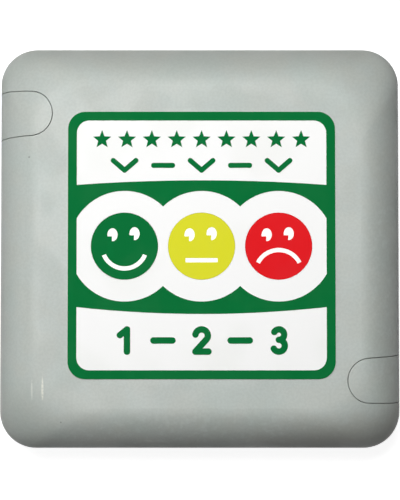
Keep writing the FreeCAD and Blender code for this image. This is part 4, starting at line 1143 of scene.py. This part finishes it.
@dataclass
class SnapDome:
    """The dimpled steel dome under a key's plunger, which the key presses flat."""

    travel: float = 0.5 * MM
    sheet: float = 0.15 * MM
    slack: float = 0.02 * MM
    dimple_radius: float = 0.8 * MM
    dimple_depth: float = 0.12 * MM
    rings: int = 16
    finish: NickelPlatedSheet = NickelPlatedSheet()

    def build(self, key: str) -> bpy.types.Object:
        """Makes one dome in place of its node.

        Args:
            key: the name of the key over the dome.

        Returns:
            The dome.
        """
        node = f"{key}_snap_dome"
        seat, radius, height = upright(node)
        dome = turned(self._profile(radius, height - self.slack))
        piece = new_piece(f"{key}_dimpled_dome", dome)
        piece.location = seat
        fitted(piece, self.finish, stands_for=node)
        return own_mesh(piece)

    def _profile(self, radius: float, height: float) -> Profile:
        """Gives the dome's half section.

        Args:
            radius: of its rim.
            height: of its crown, without the dimple.

        Returns:
            The points, from the middle of the underside out to the rim and back over the top.
        """
        rise = height - self.sheet
        arc = (radius**2 + rise**2) / (2 * rise)
        under = []
        for step in range(self.rings + 1):
            across = radius * step / self.rings
            dimple = max(0.0, 1.0 - (across / self.dimple_radius) ** 2) ** 2
            drop = arc - rise + self.dimple_depth * dimple
            under.append((across, math.sqrt(arc**2 - across**2) - drop))
        return [*under, *[(across, z + self.sheet) for across, z in reversed(under)]]


class Corners(Enum):
    """The corners of a node's box where its screws stand, by the signs of X and Y."""

    DIAGONAL = ((-1, 1), (1, -1))
    ALL = ((-1, 1), (1, -1), (-1, -1), (1, 1))


@dataclass
class Screws:
    """A set of equal cross head screws that stand in for one node of plain ones.

    Attributes:
        node: the plain screws.
        piece: the name of the piece that holds the made ones.
        head_radius: of the pan head.
        head_height: of the pan head.
        core_radius: of the shaft between its threads.
        crest_radius: of the shaft on its threads.
        pitch: of the thread.
        cross_length: of the recess from tip to tip, at the top of the head.
        heads_up: whether the heads point along +Z.
        corners: where the screws stand.
        finish: the plating.
        cross_depth: how deep the recess goes, as a share of the head's height.
        cross_bottom: half its length at the bottom, as a share of its length at the top.
        arm_half: half the width of its arms, as a share of the same.
        arm_taper: how wide they still are at the bottom.
    """

    node: str
    piece: str
    head_radius: float
    head_height: float
    core_radius: float
    crest_radius: float
    pitch: float
    cross_length: float
    heads_up: bool
    corners: Corners
    finish: ZincPlate = ZincPlate()
    cross_depth: float = 0.62
    cross_bottom: float = 0.28
    arm_half: float = 0.11
    arm_taper: float = 0.7

    def build(self) -> bpy.types.Object:
        """Makes the screws where the node's corners say, and hides the node.

        Returns:
            The piece that holds all of them.
        """
        low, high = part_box(self.node)
        length = high.z - low.z - self.head_height
        head = new_piece(f"{self.piece}_head", turned(self._head_profile()))
        combined(head, self._cross(), Joining.CUT_OUT)
        shaft = threaded(self.core_radius, self.crest_radius, self.pitch, length)
        one = gathered([self._mesh_of(head), shaft])
        turn = Matrix.Identity(4) if self.heads_up else Matrix.Rotation(math.pi, 4, "X")
        seat_z = high.z - self.head_height if self.heads_up else low.z + self.head_height
        screws = []
        for x, y in self._places(low, high):
            copy = one.copy()
            copy.transform(Matrix.Translation((x, y, seat_z)) @ turn)
            screws.append(copy)
        one.free()
        piece = new_piece(self.piece, gathered(screws))
        return fitted(piece, self.finish, stands_for=self.node)

    def _places(self, low: Vector, high: Vector) -> list[tuple[float, float]]:
        """Finds the screws' axes in the node's corners.

        Args:
            low: the lower corner of the node's box.
            high: its upper corner.

        Returns:
            Each axis as its X and Y.
        """
        along_x = {-1: low.x + self.head_radius, 1: high.x - self.head_radius}
        along_y = {-1: low.y + self.head_radius, 1: high.y - self.head_radius}
        return [(along_x[x], along_y[y]) for x, y in self.corners.value]

    def _head_profile(self) -> Profile:
        """Gives the pan head's half section.

        Returns:
            The points, from the middle of its underside to its crown.
        """
        radius, height = self.head_radius, self.head_height
        corners = [(0, 0), (radius, 0), (radius, 0.55 * height)]
        corners += [(0.72 * radius, height), (0, height)]
        return rounded(corners, 0.35 * height)

    def _cross(self) -> bpy.types.Object:
        """Makes the cutter for the cross recess.

        Returns:
            Two crossed bars that narrow towards the bottom of the recess.
        """
        half_top, half_bottom = self.cross_length / 2, self.cross_length * self.cross_bottom
        half_width = self.cross_length * self.arm_half
        bottom = self.head_height - self.cross_depth * self.head_height
        # The cutter stands out of the head by a fifth of its height.
        top = self.head_height * 1.2
        bars = []
        for name, angle in (("cross_wing_1", 0.0), ("cross_wing_2", math.pi / 2)):
            bar = bmesh.new()
            turn = Matrix.Rotation(angle, 3, "Z")
            rings = []
            for reach, half, z in (
                (half_bottom, self.arm_taper * half_width, bottom),
                (half_top, half_width, top),
            ):
                corners = [(-reach, -half), (reach, -half), (reach, half), (-reach, half)]
                rings.append([bar.verts.new(turn @ Vector((*corner, z))) for corner in corners])
            bar.faces.new(rings[0][::-1])
            bar.faces.new(rings[1])
            skinned(bar, rings)
            bars.append(new_piece(name, bar))
        combined(*bars, Joining.ADD)
        return bars[0]

    def _mesh_of(self, piece: bpy.types.Object) -> bmesh.types.BMesh:
        """Takes the mesh out of a piece.

        Args:
            piece: the piece, which is removed.

        Returns:
            Its mesh.
        """
        mesh = bmesh.new()
        mesh.from_mesh(piece.data)
        bpy.data.objects.remove(piece)
        return mesh


@dataclass
class CaseScrews(Screws):
    """The two screws that hold the case together, with their heads under the flaps."""

    node: str = "case_screws"
    piece: str = "case_screws_threaded"
    head_radius: float = 2.8 * MM
    head_height: float = 2.2 * MM
    core_radius: float = 1.15 * MM
    crest_radius: float = 1.45 * MM
    pitch: float = 1.2 * MM
    cross_length: float = 3.2 * MM
    heads_up: bool = True
    corners: Corners = Corners.DIAGONAL


@dataclass
class BoardScrews(Screws):
    """The four screws that hold the board under the front cover, put in from behind."""

    node: str = "board_screws"
    piece: str = "board_screws_threaded"
    head_radius: float = 2.4 * MM
    head_height: float = 1.8 * MM
    core_radius: float = 0.95 * MM
    crest_radius: float = 1.2 * MM
    pitch: float = 0.9 * MM
    cross_length: float = 2.7 * MM
    heads_up: bool = False
    corners: Corners = Corners.ALL


@dataclass
class RubberFoot:
    """A moulded foot with a rim and a ringed hollow under it."""

    rim_width: float = 1.1 * MM
    outer_round: float = 0.7 * MM
    hollow_depth: float = 0.45 * MM
    ring_height: float = 0.2 * MM
    ring_shares: tuple[float, ...] = (0.3, 0.6)
    finish: MouldedRubber = MouldedRubber()

    def build(self, node: str) -> bpy.types.Object:
        """Makes one foot in place of its node.

        Args:
            node: the plain foot's node.

        Returns:
            The foot.
        """
        spot, radius, height = upright(node)
        name = node.replace("rubber_foot", "ribbed_foot")
        piece = new_piece(name, turned(self._profile(radius, height)))
        piece.location = spot
        return fitted(piece, self.finish, stands_for=node)

    def _profile(self, radius: float, height: float) -> Profile:
        """Gives the foot's half section.

        Args:
            radius: of the foot.
            height: from the table to its glued face.

        Returns:
            The points, from the middle of the underside round to the glued face.
        """
        inner = radius - self.outer_round - self.rim_width
        crest = self.hollow_depth - self.ring_height
        corners = [(0.0, self.hollow_depth)]
        for share in self.ring_shares:
            middle = share * inner
            corners += [
                (middle - 0.4 * MM, self.hollow_depth),
                (middle - 0.15 * MM, crest),
                (middle + 0.15 * MM, crest),
                (middle + 0.4 * MM, self.hollow_depth),
            ]
        corners += [
            (inner - 0.3 * MM, self.hollow_depth),
            (inner, 0.0),
            (radius - 0.6 * MM, 0.0),
            (radius, 0.6 * MM),
            (radius, height),
            (0.0, height),
        ]
        return rounded(corners, 0.15 * MM, steps=3)


class NubSide(Enum):
    """The way a cell's nub points, by the sign of X."""

    LEFT = -1
    RIGHT = 1


@dataclass
class DryCell:
    """A dry cell with a crimped steel can, a nub and a shrunk film."""

    nub_length: float = 1.3 * MM
    nub_radius: float = 2.6 * MM
    film: ShrunkBlueFilm = ShrunkBlueFilm()
    can: NickelPlatedSheet = NickelPlatedSheet()

    def build(self, node: str, nub: NubSide) -> None:
        """Makes a cell in place of its node.

        Args:
            node: the plain cell's node.
            nub: the way its nub points.
        """
        low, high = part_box(node)
        radius, length = (high.z - low.z) / 2, high.x - low.x
        shoulder = length - self.nub_length
        film = [
            (0.72 * radius, 0.25 * MM),
            (0.93 * radius, 0.05 * MM),
            (radius, 0.9 * MM),
            (radius, shoulder - 1.0 * MM),
            (0.95 * radius, shoulder - 0.1 * MM),
            (0.8 * radius, shoulder - 0.2 * MM),
            (0.78 * radius, shoulder - 0.5 * MM),
        ]
        can = [
            (0.0, 0.0),
            (0.6 * radius, 0.0),
            (0.66 * radius, 0.3 * MM),
            (0.9 * radius, 0.35 * MM),
            (0.9 * radius, shoulder - 0.6 * MM),
            (self.nub_radius + 0.1 * MM, shoulder - 0.6 * MM),
            (self.nub_radius, length - 0.3 * MM),
            (self.nub_radius - 0.3 * MM, length),
            (0.0, length),
        ]
        turn = Matrix.Rotation(math.pi / 2 * nub.value, 4, "Y")
        start_x = low.x if nub is NubSide.RIGHT else high.x
        start = (start_x, (low.y + high.y) / 2, (low.z + high.z) / 2)
        for part, profile, finish, slot, stands_for in (
            ("sleeve", film, self.film, "battery_sleeve", node),
            ("can", can, self.can, "tin_can", None),
        ):
            mesh = turned(rounded(profile, 0.3 * MM, steps=3))
            piece = new_piece(node.replace("battery", part), mesh)
            piece.matrix_world = Matrix.Translation(start) @ turn
            fitted(piece, finish, stands_for)


@dataclass
class CanCapacitor:
    """An electrolytic capacitor that hangs from the board: a drawn can in a shrunk film."""

    node: str = "buffer_capacitor"
    groove_depth: float = 0.45 * MM
    groove_from_board: float = 1.8 * MM
    groove_half: float = 0.7 * MM
    rim: float = 0.7 * MM

    def build(self) -> None:
        """Makes the film and the can's bare end in place of the node."""
        foot, radius, length = upright(self.node)
        waist = length - self.groove_from_board
        film = [
            (radius - 1.6 * self.rim, 0.12 * MM),
            (radius - self.rim, 0.02 * MM),
            (radius, self.rim),
            (radius, waist - self.groove_half),
            (radius - self.groove_depth, waist),
            (radius, waist + self.groove_half),
            (radius, length - 0.3 * MM),
            (radius - 0.5 * MM, length),
            (0.0, length),
        ]
        end = [(0.0, 0.22 * MM), (radius - 1.4 * self.rim, 0.2 * MM), (radius - self.rim, 0.3 * MM)]
        for name, profile, finish, stands_for in (
            ("capacitor_shrink_sleeve", film, ShrunkDarkFilm(), self.node),
            ("capacitor_can_end", end, DrawnAluminium(), None),
        ):
            piece = new_piece(name, turned(rounded(profile, 0.3 * MM, steps=3)))
            piece.location = foot
            fitted(piece, finish, stands_for)


@dataclass
class BoardDetails:
    """What is soldered to the board beside its larger parts: legs, chip parts and joints."""

    leg_pitch: float = 1.0 * MM
    leg_width: float = 0.4 * MM
    leg_sheet: float = 0.15 * MM
    legs_per_side: int = 8
    pin_width: float = 0.4 * MM
    pin_length: float = 1.0 * MM
    chip_part: Triple = (2.0 * MM, 1.25 * MM, 0.55 * MM)
    chip_columns: int = 6
    chip_rows: int = 3
    column_pitch: float = 4.4 * MM
    row_pitch: float = 3.1 * MM
    first_row_y: float = -9.5 * MM
    empty_share: float = 0.25
    seed: int = 7

    def build(self) -> None:
        """Makes the legs of the controller, the chip parts and the solder joints."""
        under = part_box("main_board")[0].z
        self._legs(under)
        self._chip_parts(under)
        self._joints(under)

    def _legs(self, under: float) -> None:
        """Makes gull wing legs on all four sides of the controller.

        Args:
            under: the height of the board's underside.
        """
        low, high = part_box("controller_chip")
        middle = (low + high) / 2
        half = (high.x - low.x) / 2
        width, sheet = self.leg_width, self.leg_sheet
        blocks = []
        for quarter in range(4):
            turn = Matrix.Rotation(quarter * math.pi / 2, 4, "Z")
            place = Matrix.Translation((middle.x, middle.y, under)) @ turn
            for number in range(self.legs_per_side):
                across = (number - (self.legs_per_side - 1) / 2) * self.leg_pitch
                for size, spot in (
                    ((0.7 * MM, width, sheet), (half + 0.3 * MM, across, -0.6 * MM)),
                    ((sheet, width, 0.6 * MM), (half + 0.6 * MM, across, -0.35 * MM)),
                    ((0.8 * MM, width, sheet), (half + 0.95 * MM, across, -0.08 * MM)),
                ):
                    block = softened_block(size, spot, 0.04 * MM)
                    block.transform(place)
                    blocks.append(block)
        fitted(new_piece("controller_legs", gathered(blocks)), NickelPlatedSheet())

    def _chip_parts(self, under: float) -> None:
        """Makes rows of small chip parts, each a ceramic block with two tinned ends.

        Args:
            under: the height of the board's underside.
        """
        placing = random.Random(self.seed)
        length, width, height = self.chip_part
        body_size = (0.64 * length, 0.96 * width, 0.94 * height)
        end_size = (0.2 * length, width, height)
        bodies, ends = [], []
        for column in range(self.chip_columns):
            for row in range(self.chip_rows):
                if placing.random() < self.empty_share:
                    continue
                x = (column - (self.chip_columns - 1) / 2) * self.column_pitch
                y = self.first_row_y + row * self.row_pitch
                turn = Matrix.Rotation(placing.choice((0.0, math.pi / 2)), 4, "Z")
                place = Matrix.Translation((x, y, under - height / 2)) @ turn
                bodies.append(softened_block(body_size, (0, 0, 0), 0.05 * MM))
                bodies[-1].transform(place)
                for side in (-1, 1):
                    ends.append(softened_block(end_size, (side * 0.41 * length, 0, 0), 0.06 * MM))
                    ends[-1].transform(place)
        fitted(new_piece("chip_part_bodies", gathered(bodies)), Ceramic())
        fitted(new_piece("chip_part_ends", gathered(ends)), Solder())

    def _joints(self, under: float) -> None:
        """Makes a cone of solder round each switch pin.

        Args:
            under: the height of the board's underside.
        """
        cone = [(0.15 * MM, -1.0 * MM), (0.45 * MM, -0.75 * MM)]
        cone += [(0.62 * MM, -0.3 * MM), (1.1 * MM, 0.0)]
        cones = []
        for key in ("happy", "neutral", "sad"):
            low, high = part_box(f"{key}_switch_pins")
            for x in (low.x + self.pin_width / 2, high.x - self.pin_width / 2):
                for y in (low.y + self.pin_length / 2, high.y - self.pin_length / 2):
                    joint = turned(rounded(cone, 0.3 * MM), segments=20)
                    joint.transform(Matrix.Translation((x, y, under)))
                    cones.append(joint)
        fitted(new_piece("solder_joints", gathered(cones)), Solder())


@dataclass
class Electronics:
    """The board, what stands on it, the leads and the battery holder."""

    finishes: dict[str, Finish] = field(
        default_factory=lambda: {
            "main_board": SolderMask(),
            "controller_chip": BlackMoulding(),
            "radio_module": NickelPlatedSheet(),
            "radio_antenna": DrawnBronzeWire(),
            "sounder": BlackMoulding(),
            "programming_header": BlackMoulding(),
            "battery_socket": NaturalNylon(),
            "battery_plug": NaturalNylon(),
            "battery_lead_red": ExtrudedPvc("pvc_insulation_red", "#B01C1C", "#9A2A26"),
            "battery_lead_black": ExtrudedPvc("pvc_insulation_black", "#1A1A1B", "#2B2B2C"),
            "battery_holder": BlackMoulding(),
            "holder_tape": FoamTape(),
            "contact_plate_positive": NickelPlatedSheet(),
            "contact_plate_negative": NickelPlatedSheet(),
            "contact_bridge": NickelPlatedSheet(),
        }
    )

    def dress(self) -> None:
        """Dresses each node with the finish that stands beside its name."""
        for name, finish in self.finishes.items():
            finish.dress(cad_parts[name])


# ------------------------------------------------------------------ studio


class LampRole(Enum):
    """What a lamp does: all, no glare as behind crossed polarisers, or the soft shine alone."""

    PLAIN = "plain"
    POLARISED = "polarised"
    SHEEN = "sheen"


@dataclass(frozen=True)
class Lamp:
    """A square softbox that is aimed at the middle of the terminal."""

    name: str
    place: Triple
    size: float
    watts: float
    role: LampRole = LampRole.PLAIN

    def hang(self) -> None:
        """Makes the lamp and lets it do only what its role says."""
        lamp = bpy.data.lights.new(self.name, "AREA")
        lamp.shape = "SQUARE"
        lamp.size = self.size
        lamp.energy = self.watts
        hung = bpy.data.objects.new(self.name, lamp)
        hung.location = self.place
        hung.rotation_mode = "QUATERNION"
        hung.rotation_quaternion = (-Vector(self.place)).to_track_quat("-Z", "Y")
        hung.visible_diffuse = self.role is not LampRole.SHEEN
        hung.visible_glossy = self.role is not LampRole.POLARISED
        bpy.context.scene.collection.objects.link(hung)


@dataclass
class Studio:
    """A white table in a white room, lit by softboxes above, and dark where the camera stands.

    Attributes:
        lamps: the softboxes.
        floor_radius: of the round table top.
        floor_colour: of its paper.
        floor_glow: how white it looks by itself near the terminal, where it also takes a shadow.
        shadow_reach: how far from the middle that shadow may fall; the table is white from twice
            that.
        lit_half: half the side of the square under the terminal that glows on to its back.
        lit_edge: the width over which that glow fades.
        under_glow: how strongly that square glows.
        ambient: the even light of the room.
        mirrored_white: how white the walls and the table look in a shiny surface.
        dark_above: the height, as a share of the way up, from which the room is dark.
        white_below: the height below which it is white.
    """

    lamps: tuple[Lamp, ...] = (
        Lamp("upper_softbox", (-0.111, 0.264, 0.78), 0.30, watts=6.4, role=LampRole.POLARISED),
        Lamp("left_strip", (-0.743, 0.0, 0.33), 0.30, watts=0.8),
        Lamp("overhead_sheen", (-0.09, 0.09, 0.82), 0.40, watts=5.2, role=LampRole.SHEEN),
    )
    floor_radius: float = 1.6
    floor_colour: str = "#B4B4B4"
    floor_glow: float = 0.90
    shadow_reach: float = 0.25
    lit_half: float = 0.073
    lit_edge: float = 3 * MM
    under_glow: float = 0.5
    ambient: float = 0.03
    mirrored_white: float = 0.3
    dark_above: float = 0.35
    white_below: float = 0.05

    def build(self) -> None:
        """Makes the table, the lamps and the world."""
        self._floor()
        for lamp in self.lamps:
            lamp.hang()
        self._world()

    def _floor(self) -> None:
        """Makes a round white table top that takes the shadow and is clear from below."""
        disc = bmesh.new()
        bmesh.ops.create_circle(disc, cap_ends=True, segments=96, radius=self.floor_radius)
        floor = new_piece("table_top", disc)
        material = bpy.data.materials.new("white_table_top")
        material.use_nodes = True
        tree = material.node_tree
        tree.nodes.clear()
        path = add_node(tree, "ShaderNodeLightPath")
        paper = add_node(tree, "ShaderNodeBsdfDiffuse", values={"Color": linear(self.floor_colour)})
        fade = add_node(
            tree,
            "ShaderNodeMapRange",
            SMOOTH,
            {
                "From Min": self.shadow_reach,
                "From Max": 2 * self.shadow_reach,
                "To Min": self.floor_glow,
                "To Max": 1.0,
            },
            {"Value": self._round_reach(tree)},
        ).outputs["Result"]
        white = add_node(
            tree,
            "ShaderNodeMath",
            {"operation": "MULTIPLY"},
            links={0: fade, 1: self._seen(tree, path, path.outputs["Is Glossy Ray"])},
        )
        # The table glows under the terminal, so that its back can be seen from below.
        under = add_node(
            tree,
            "ShaderNodeMapRange",
            SMOOTH,
            {
                "From Min": self.lit_half - self.lit_edge,
                "From Max": self.lit_half,
                "To Min": self.under_glow,
                "To Max": 0.0,
            },
            {"Value": self._square_reach(tree)},
        ).outputs["Result"]
        strength = add_node(
            tree,
            "ShaderNodeMath",
            {"operation": "MULTIPLY_ADD"},
            links={0: path.outputs["Is Diffuse Ray"], 1: under, 2: white.outputs[0]},
        )
        glow = add_node(tree, "ShaderNodeEmission", links={"Strength": strength.outputs[0]})
        shaders = {0: paper.outputs[0], 1: glow.outputs[0]}
        both = add_node(tree, "ShaderNodeAddShader", links=shaders)
        clear = add_node(tree, "ShaderNodeBsdfTransparent")
        below = add_node(tree, "ShaderNodeNewGeometry").outputs["Backfacing"]
        top = add_node(
            tree,
            "ShaderNodeMixShader",
            links={0: below, 1: both.outputs[0], 2: clear.outputs[0]},
        )
        add_node(tree, "ShaderNodeOutputMaterial", links={"Surface": top.outputs[0]})
        floor.data.materials.append(material)

    def _round_reach(self, tree: bpy.types.NodeTree) -> Socket:
        """Makes the distance from the middle of the table.

        Args:
            tree: the node tree.

        Returns:
            The distance.
        """
        place = add_node(tree, "ShaderNodeTexCoord").outputs["Object"]
        settings = {"operation": "LENGTH"}
        return add_node(tree, "ShaderNodeVectorMath", settings, links={0: place}).outputs["Value"]

    def _square_reach(self, tree: bpy.types.NodeTree) -> Socket:
        """Makes the larger of the distances from the middle of the table along X and Y.

        Args:
            tree: the node tree.

        Returns:
            The distance.
        """
        place = add_node(tree, "ShaderNodeTexCoord").outputs["Object"]
        size = add_node(tree, "ShaderNodeVectorMath", {"operation": "ABSOLUTE"}, links={0: place})
        parts = add_node(tree, "ShaderNodeSeparateXYZ", links={0: size.outputs[0]})
        links = {0: parts.outputs["X"], 1: parts.outputs["Y"]}
        return add_node(tree, "ShaderNodeMath", {"operation": "MAXIMUM"}, links=links).outputs[0]

    def _seen(self, tree: bpy.types.NodeTree, path: bpy.types.Node, mirrored: Socket) -> Socket:
        """Tells how white the room looks to a ray.

        Args:
            tree: the node tree.
            path: its Light Path node.
            mirrored: 1 for a ray that comes off a shiny surface and meets a white part.

        Returns:
            1 for what the camera sees, straight or through glass, and less for mirrored rays.
        """
        direct = add_node(
            tree,
            "ShaderNodeMath",
            {"operation": "MAXIMUM"},
            links={0: path.outputs["Is Camera Ray"], 1: path.outputs["Is Transmission Ray"]},
        )
        return add_node(
            tree,
            "ShaderNodeMath",
            {"operation": "MULTIPLY_ADD"},
            {1: self.mirrored_white},
            {0: mirrored, 2: direct.outputs[0]},
        ).outputs[0]

    def _world(self) -> None:
        """Sets a weak even light and a room whose walls look white and whose ceiling is dark."""
        world = bpy.data.worlds.new("white_room")
        bpy.context.scene.world = world
        world.use_nodes = True
        tree = world.node_tree
        tree.nodes.clear()
        path = add_node(tree, "ShaderNodeLightPath")
        place = add_node(tree, "ShaderNodeTexCoord").outputs["Generated"]
        height = add_node(tree, "ShaderNodeSeparateXYZ", links={0: place}).outputs["Z"]
        wall = add_node(
            tree,
            "ShaderNodeMapRange",
            values={"From Min": self.dark_above, "From Max": self.white_below},
            links={"Value": height},
        )
        mirrored = add_node(
            tree,
            "ShaderNodeMath",
            {"operation": "MULTIPLY"},
            links={0: path.outputs["Is Glossy Ray"], 1: wall.outputs["Result"]},
        )
        seen = self._seen(tree, path, mirrored.outputs[0])
        strength = add_node(
            tree, "ShaderNodeMath", {"operation": "MAXIMUM"}, {1: self.ambient}, {0: seen}
        )
        light = add_node(
            tree,
            "ShaderNodeBackground",
            values={"Color": (1.0, 1.0, 1.0, 1.0)},
            links={"Strength": strength.outputs[0]},
        )
        add_node(tree, "ShaderNodeOutputWorld", links={"Surface": light.outputs[0]})


@dataclass
class ViewCamera:
    """A camera over the label that leans back by a little under two degrees."""

    elevation: float = 88.2
    distance: float = 0.512
    lens_mm: float = 99.2
    sensor_mm: float = 36.0
    target: Triple = (0.0001, -0.0009, 0.028)

    def build(self) -> None:
        """Makes the camera and makes it the scene's."""
        data = bpy.data.cameras.new("view_camera")
        data.lens = self.lens_mm
        data.sensor_width = self.sensor_mm
        camera = bpy.data.objects.new("view_camera", data)
        rise = math.radians(self.elevation)
        back = Vector((0.0, -math.cos(rise), math.sin(rise)))
        camera.location = Vector(self.target) + back * self.distance
        camera.rotation_mode = "QUATERNION"
        camera.rotation_quaternion = (-back).to_track_quat("-Z", "Y")
        bpy.context.scene.collection.objects.link(camera)
        bpy.context.scene.camera = camera


# ------------------------------------------------------------------ whole scene


def main() -> None:
    """Builds and dresses every part of the terminal, then lights it."""
    logging.basicConfig(level=logging.INFO, format="%(name)s: %(message)s")
    bpy.context.scene.view_settings.view_transform = "Standard"
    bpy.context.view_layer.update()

    CaseShell().dress()
    LOG.info("case halves and flaps dressed")
    LabelSheet().dress()
    LOG.info("label dressed")
    for name, ink in (("happy", Ink.GREEN), ("neutral", Ink.YELLOW), ("sad", Ink.RED)):
        OpinionKey(name, ink).dress()
        LOG.info("%s key dressed", name)
        SnapDome().build(name)
        LOG.info("%s snap dome built", name)
    Electronics().dress()
    LOG.info("board, leads and battery holder dressed")

    for screws in (CaseScrews(), BoardScrews()):
        screws.build()
        LOG.info("%s built", screws.piece)
    for corner in ("upper_left", "upper_right", "lower_left", "lower_right"):
        RubberFoot().build(f"rubber_foot_{corner}")
        LOG.info("foot %s built", corner)
    for node, nub in (("battery_cell_1", NubSide.LEFT), ("battery_cell_2", NubSide.RIGHT)):
        DryCell().build(node, nub)
        LOG.info("%s built", node)
    CanCapacitor().build()
    LOG.info("capacitor built")
    BoardDetails().build()
    LOG.info("board details built")

    Studio().build()
    LOG.info("table, lamps and room built")
    ViewCamera().build()


if __name__ == "__main__":
    main()
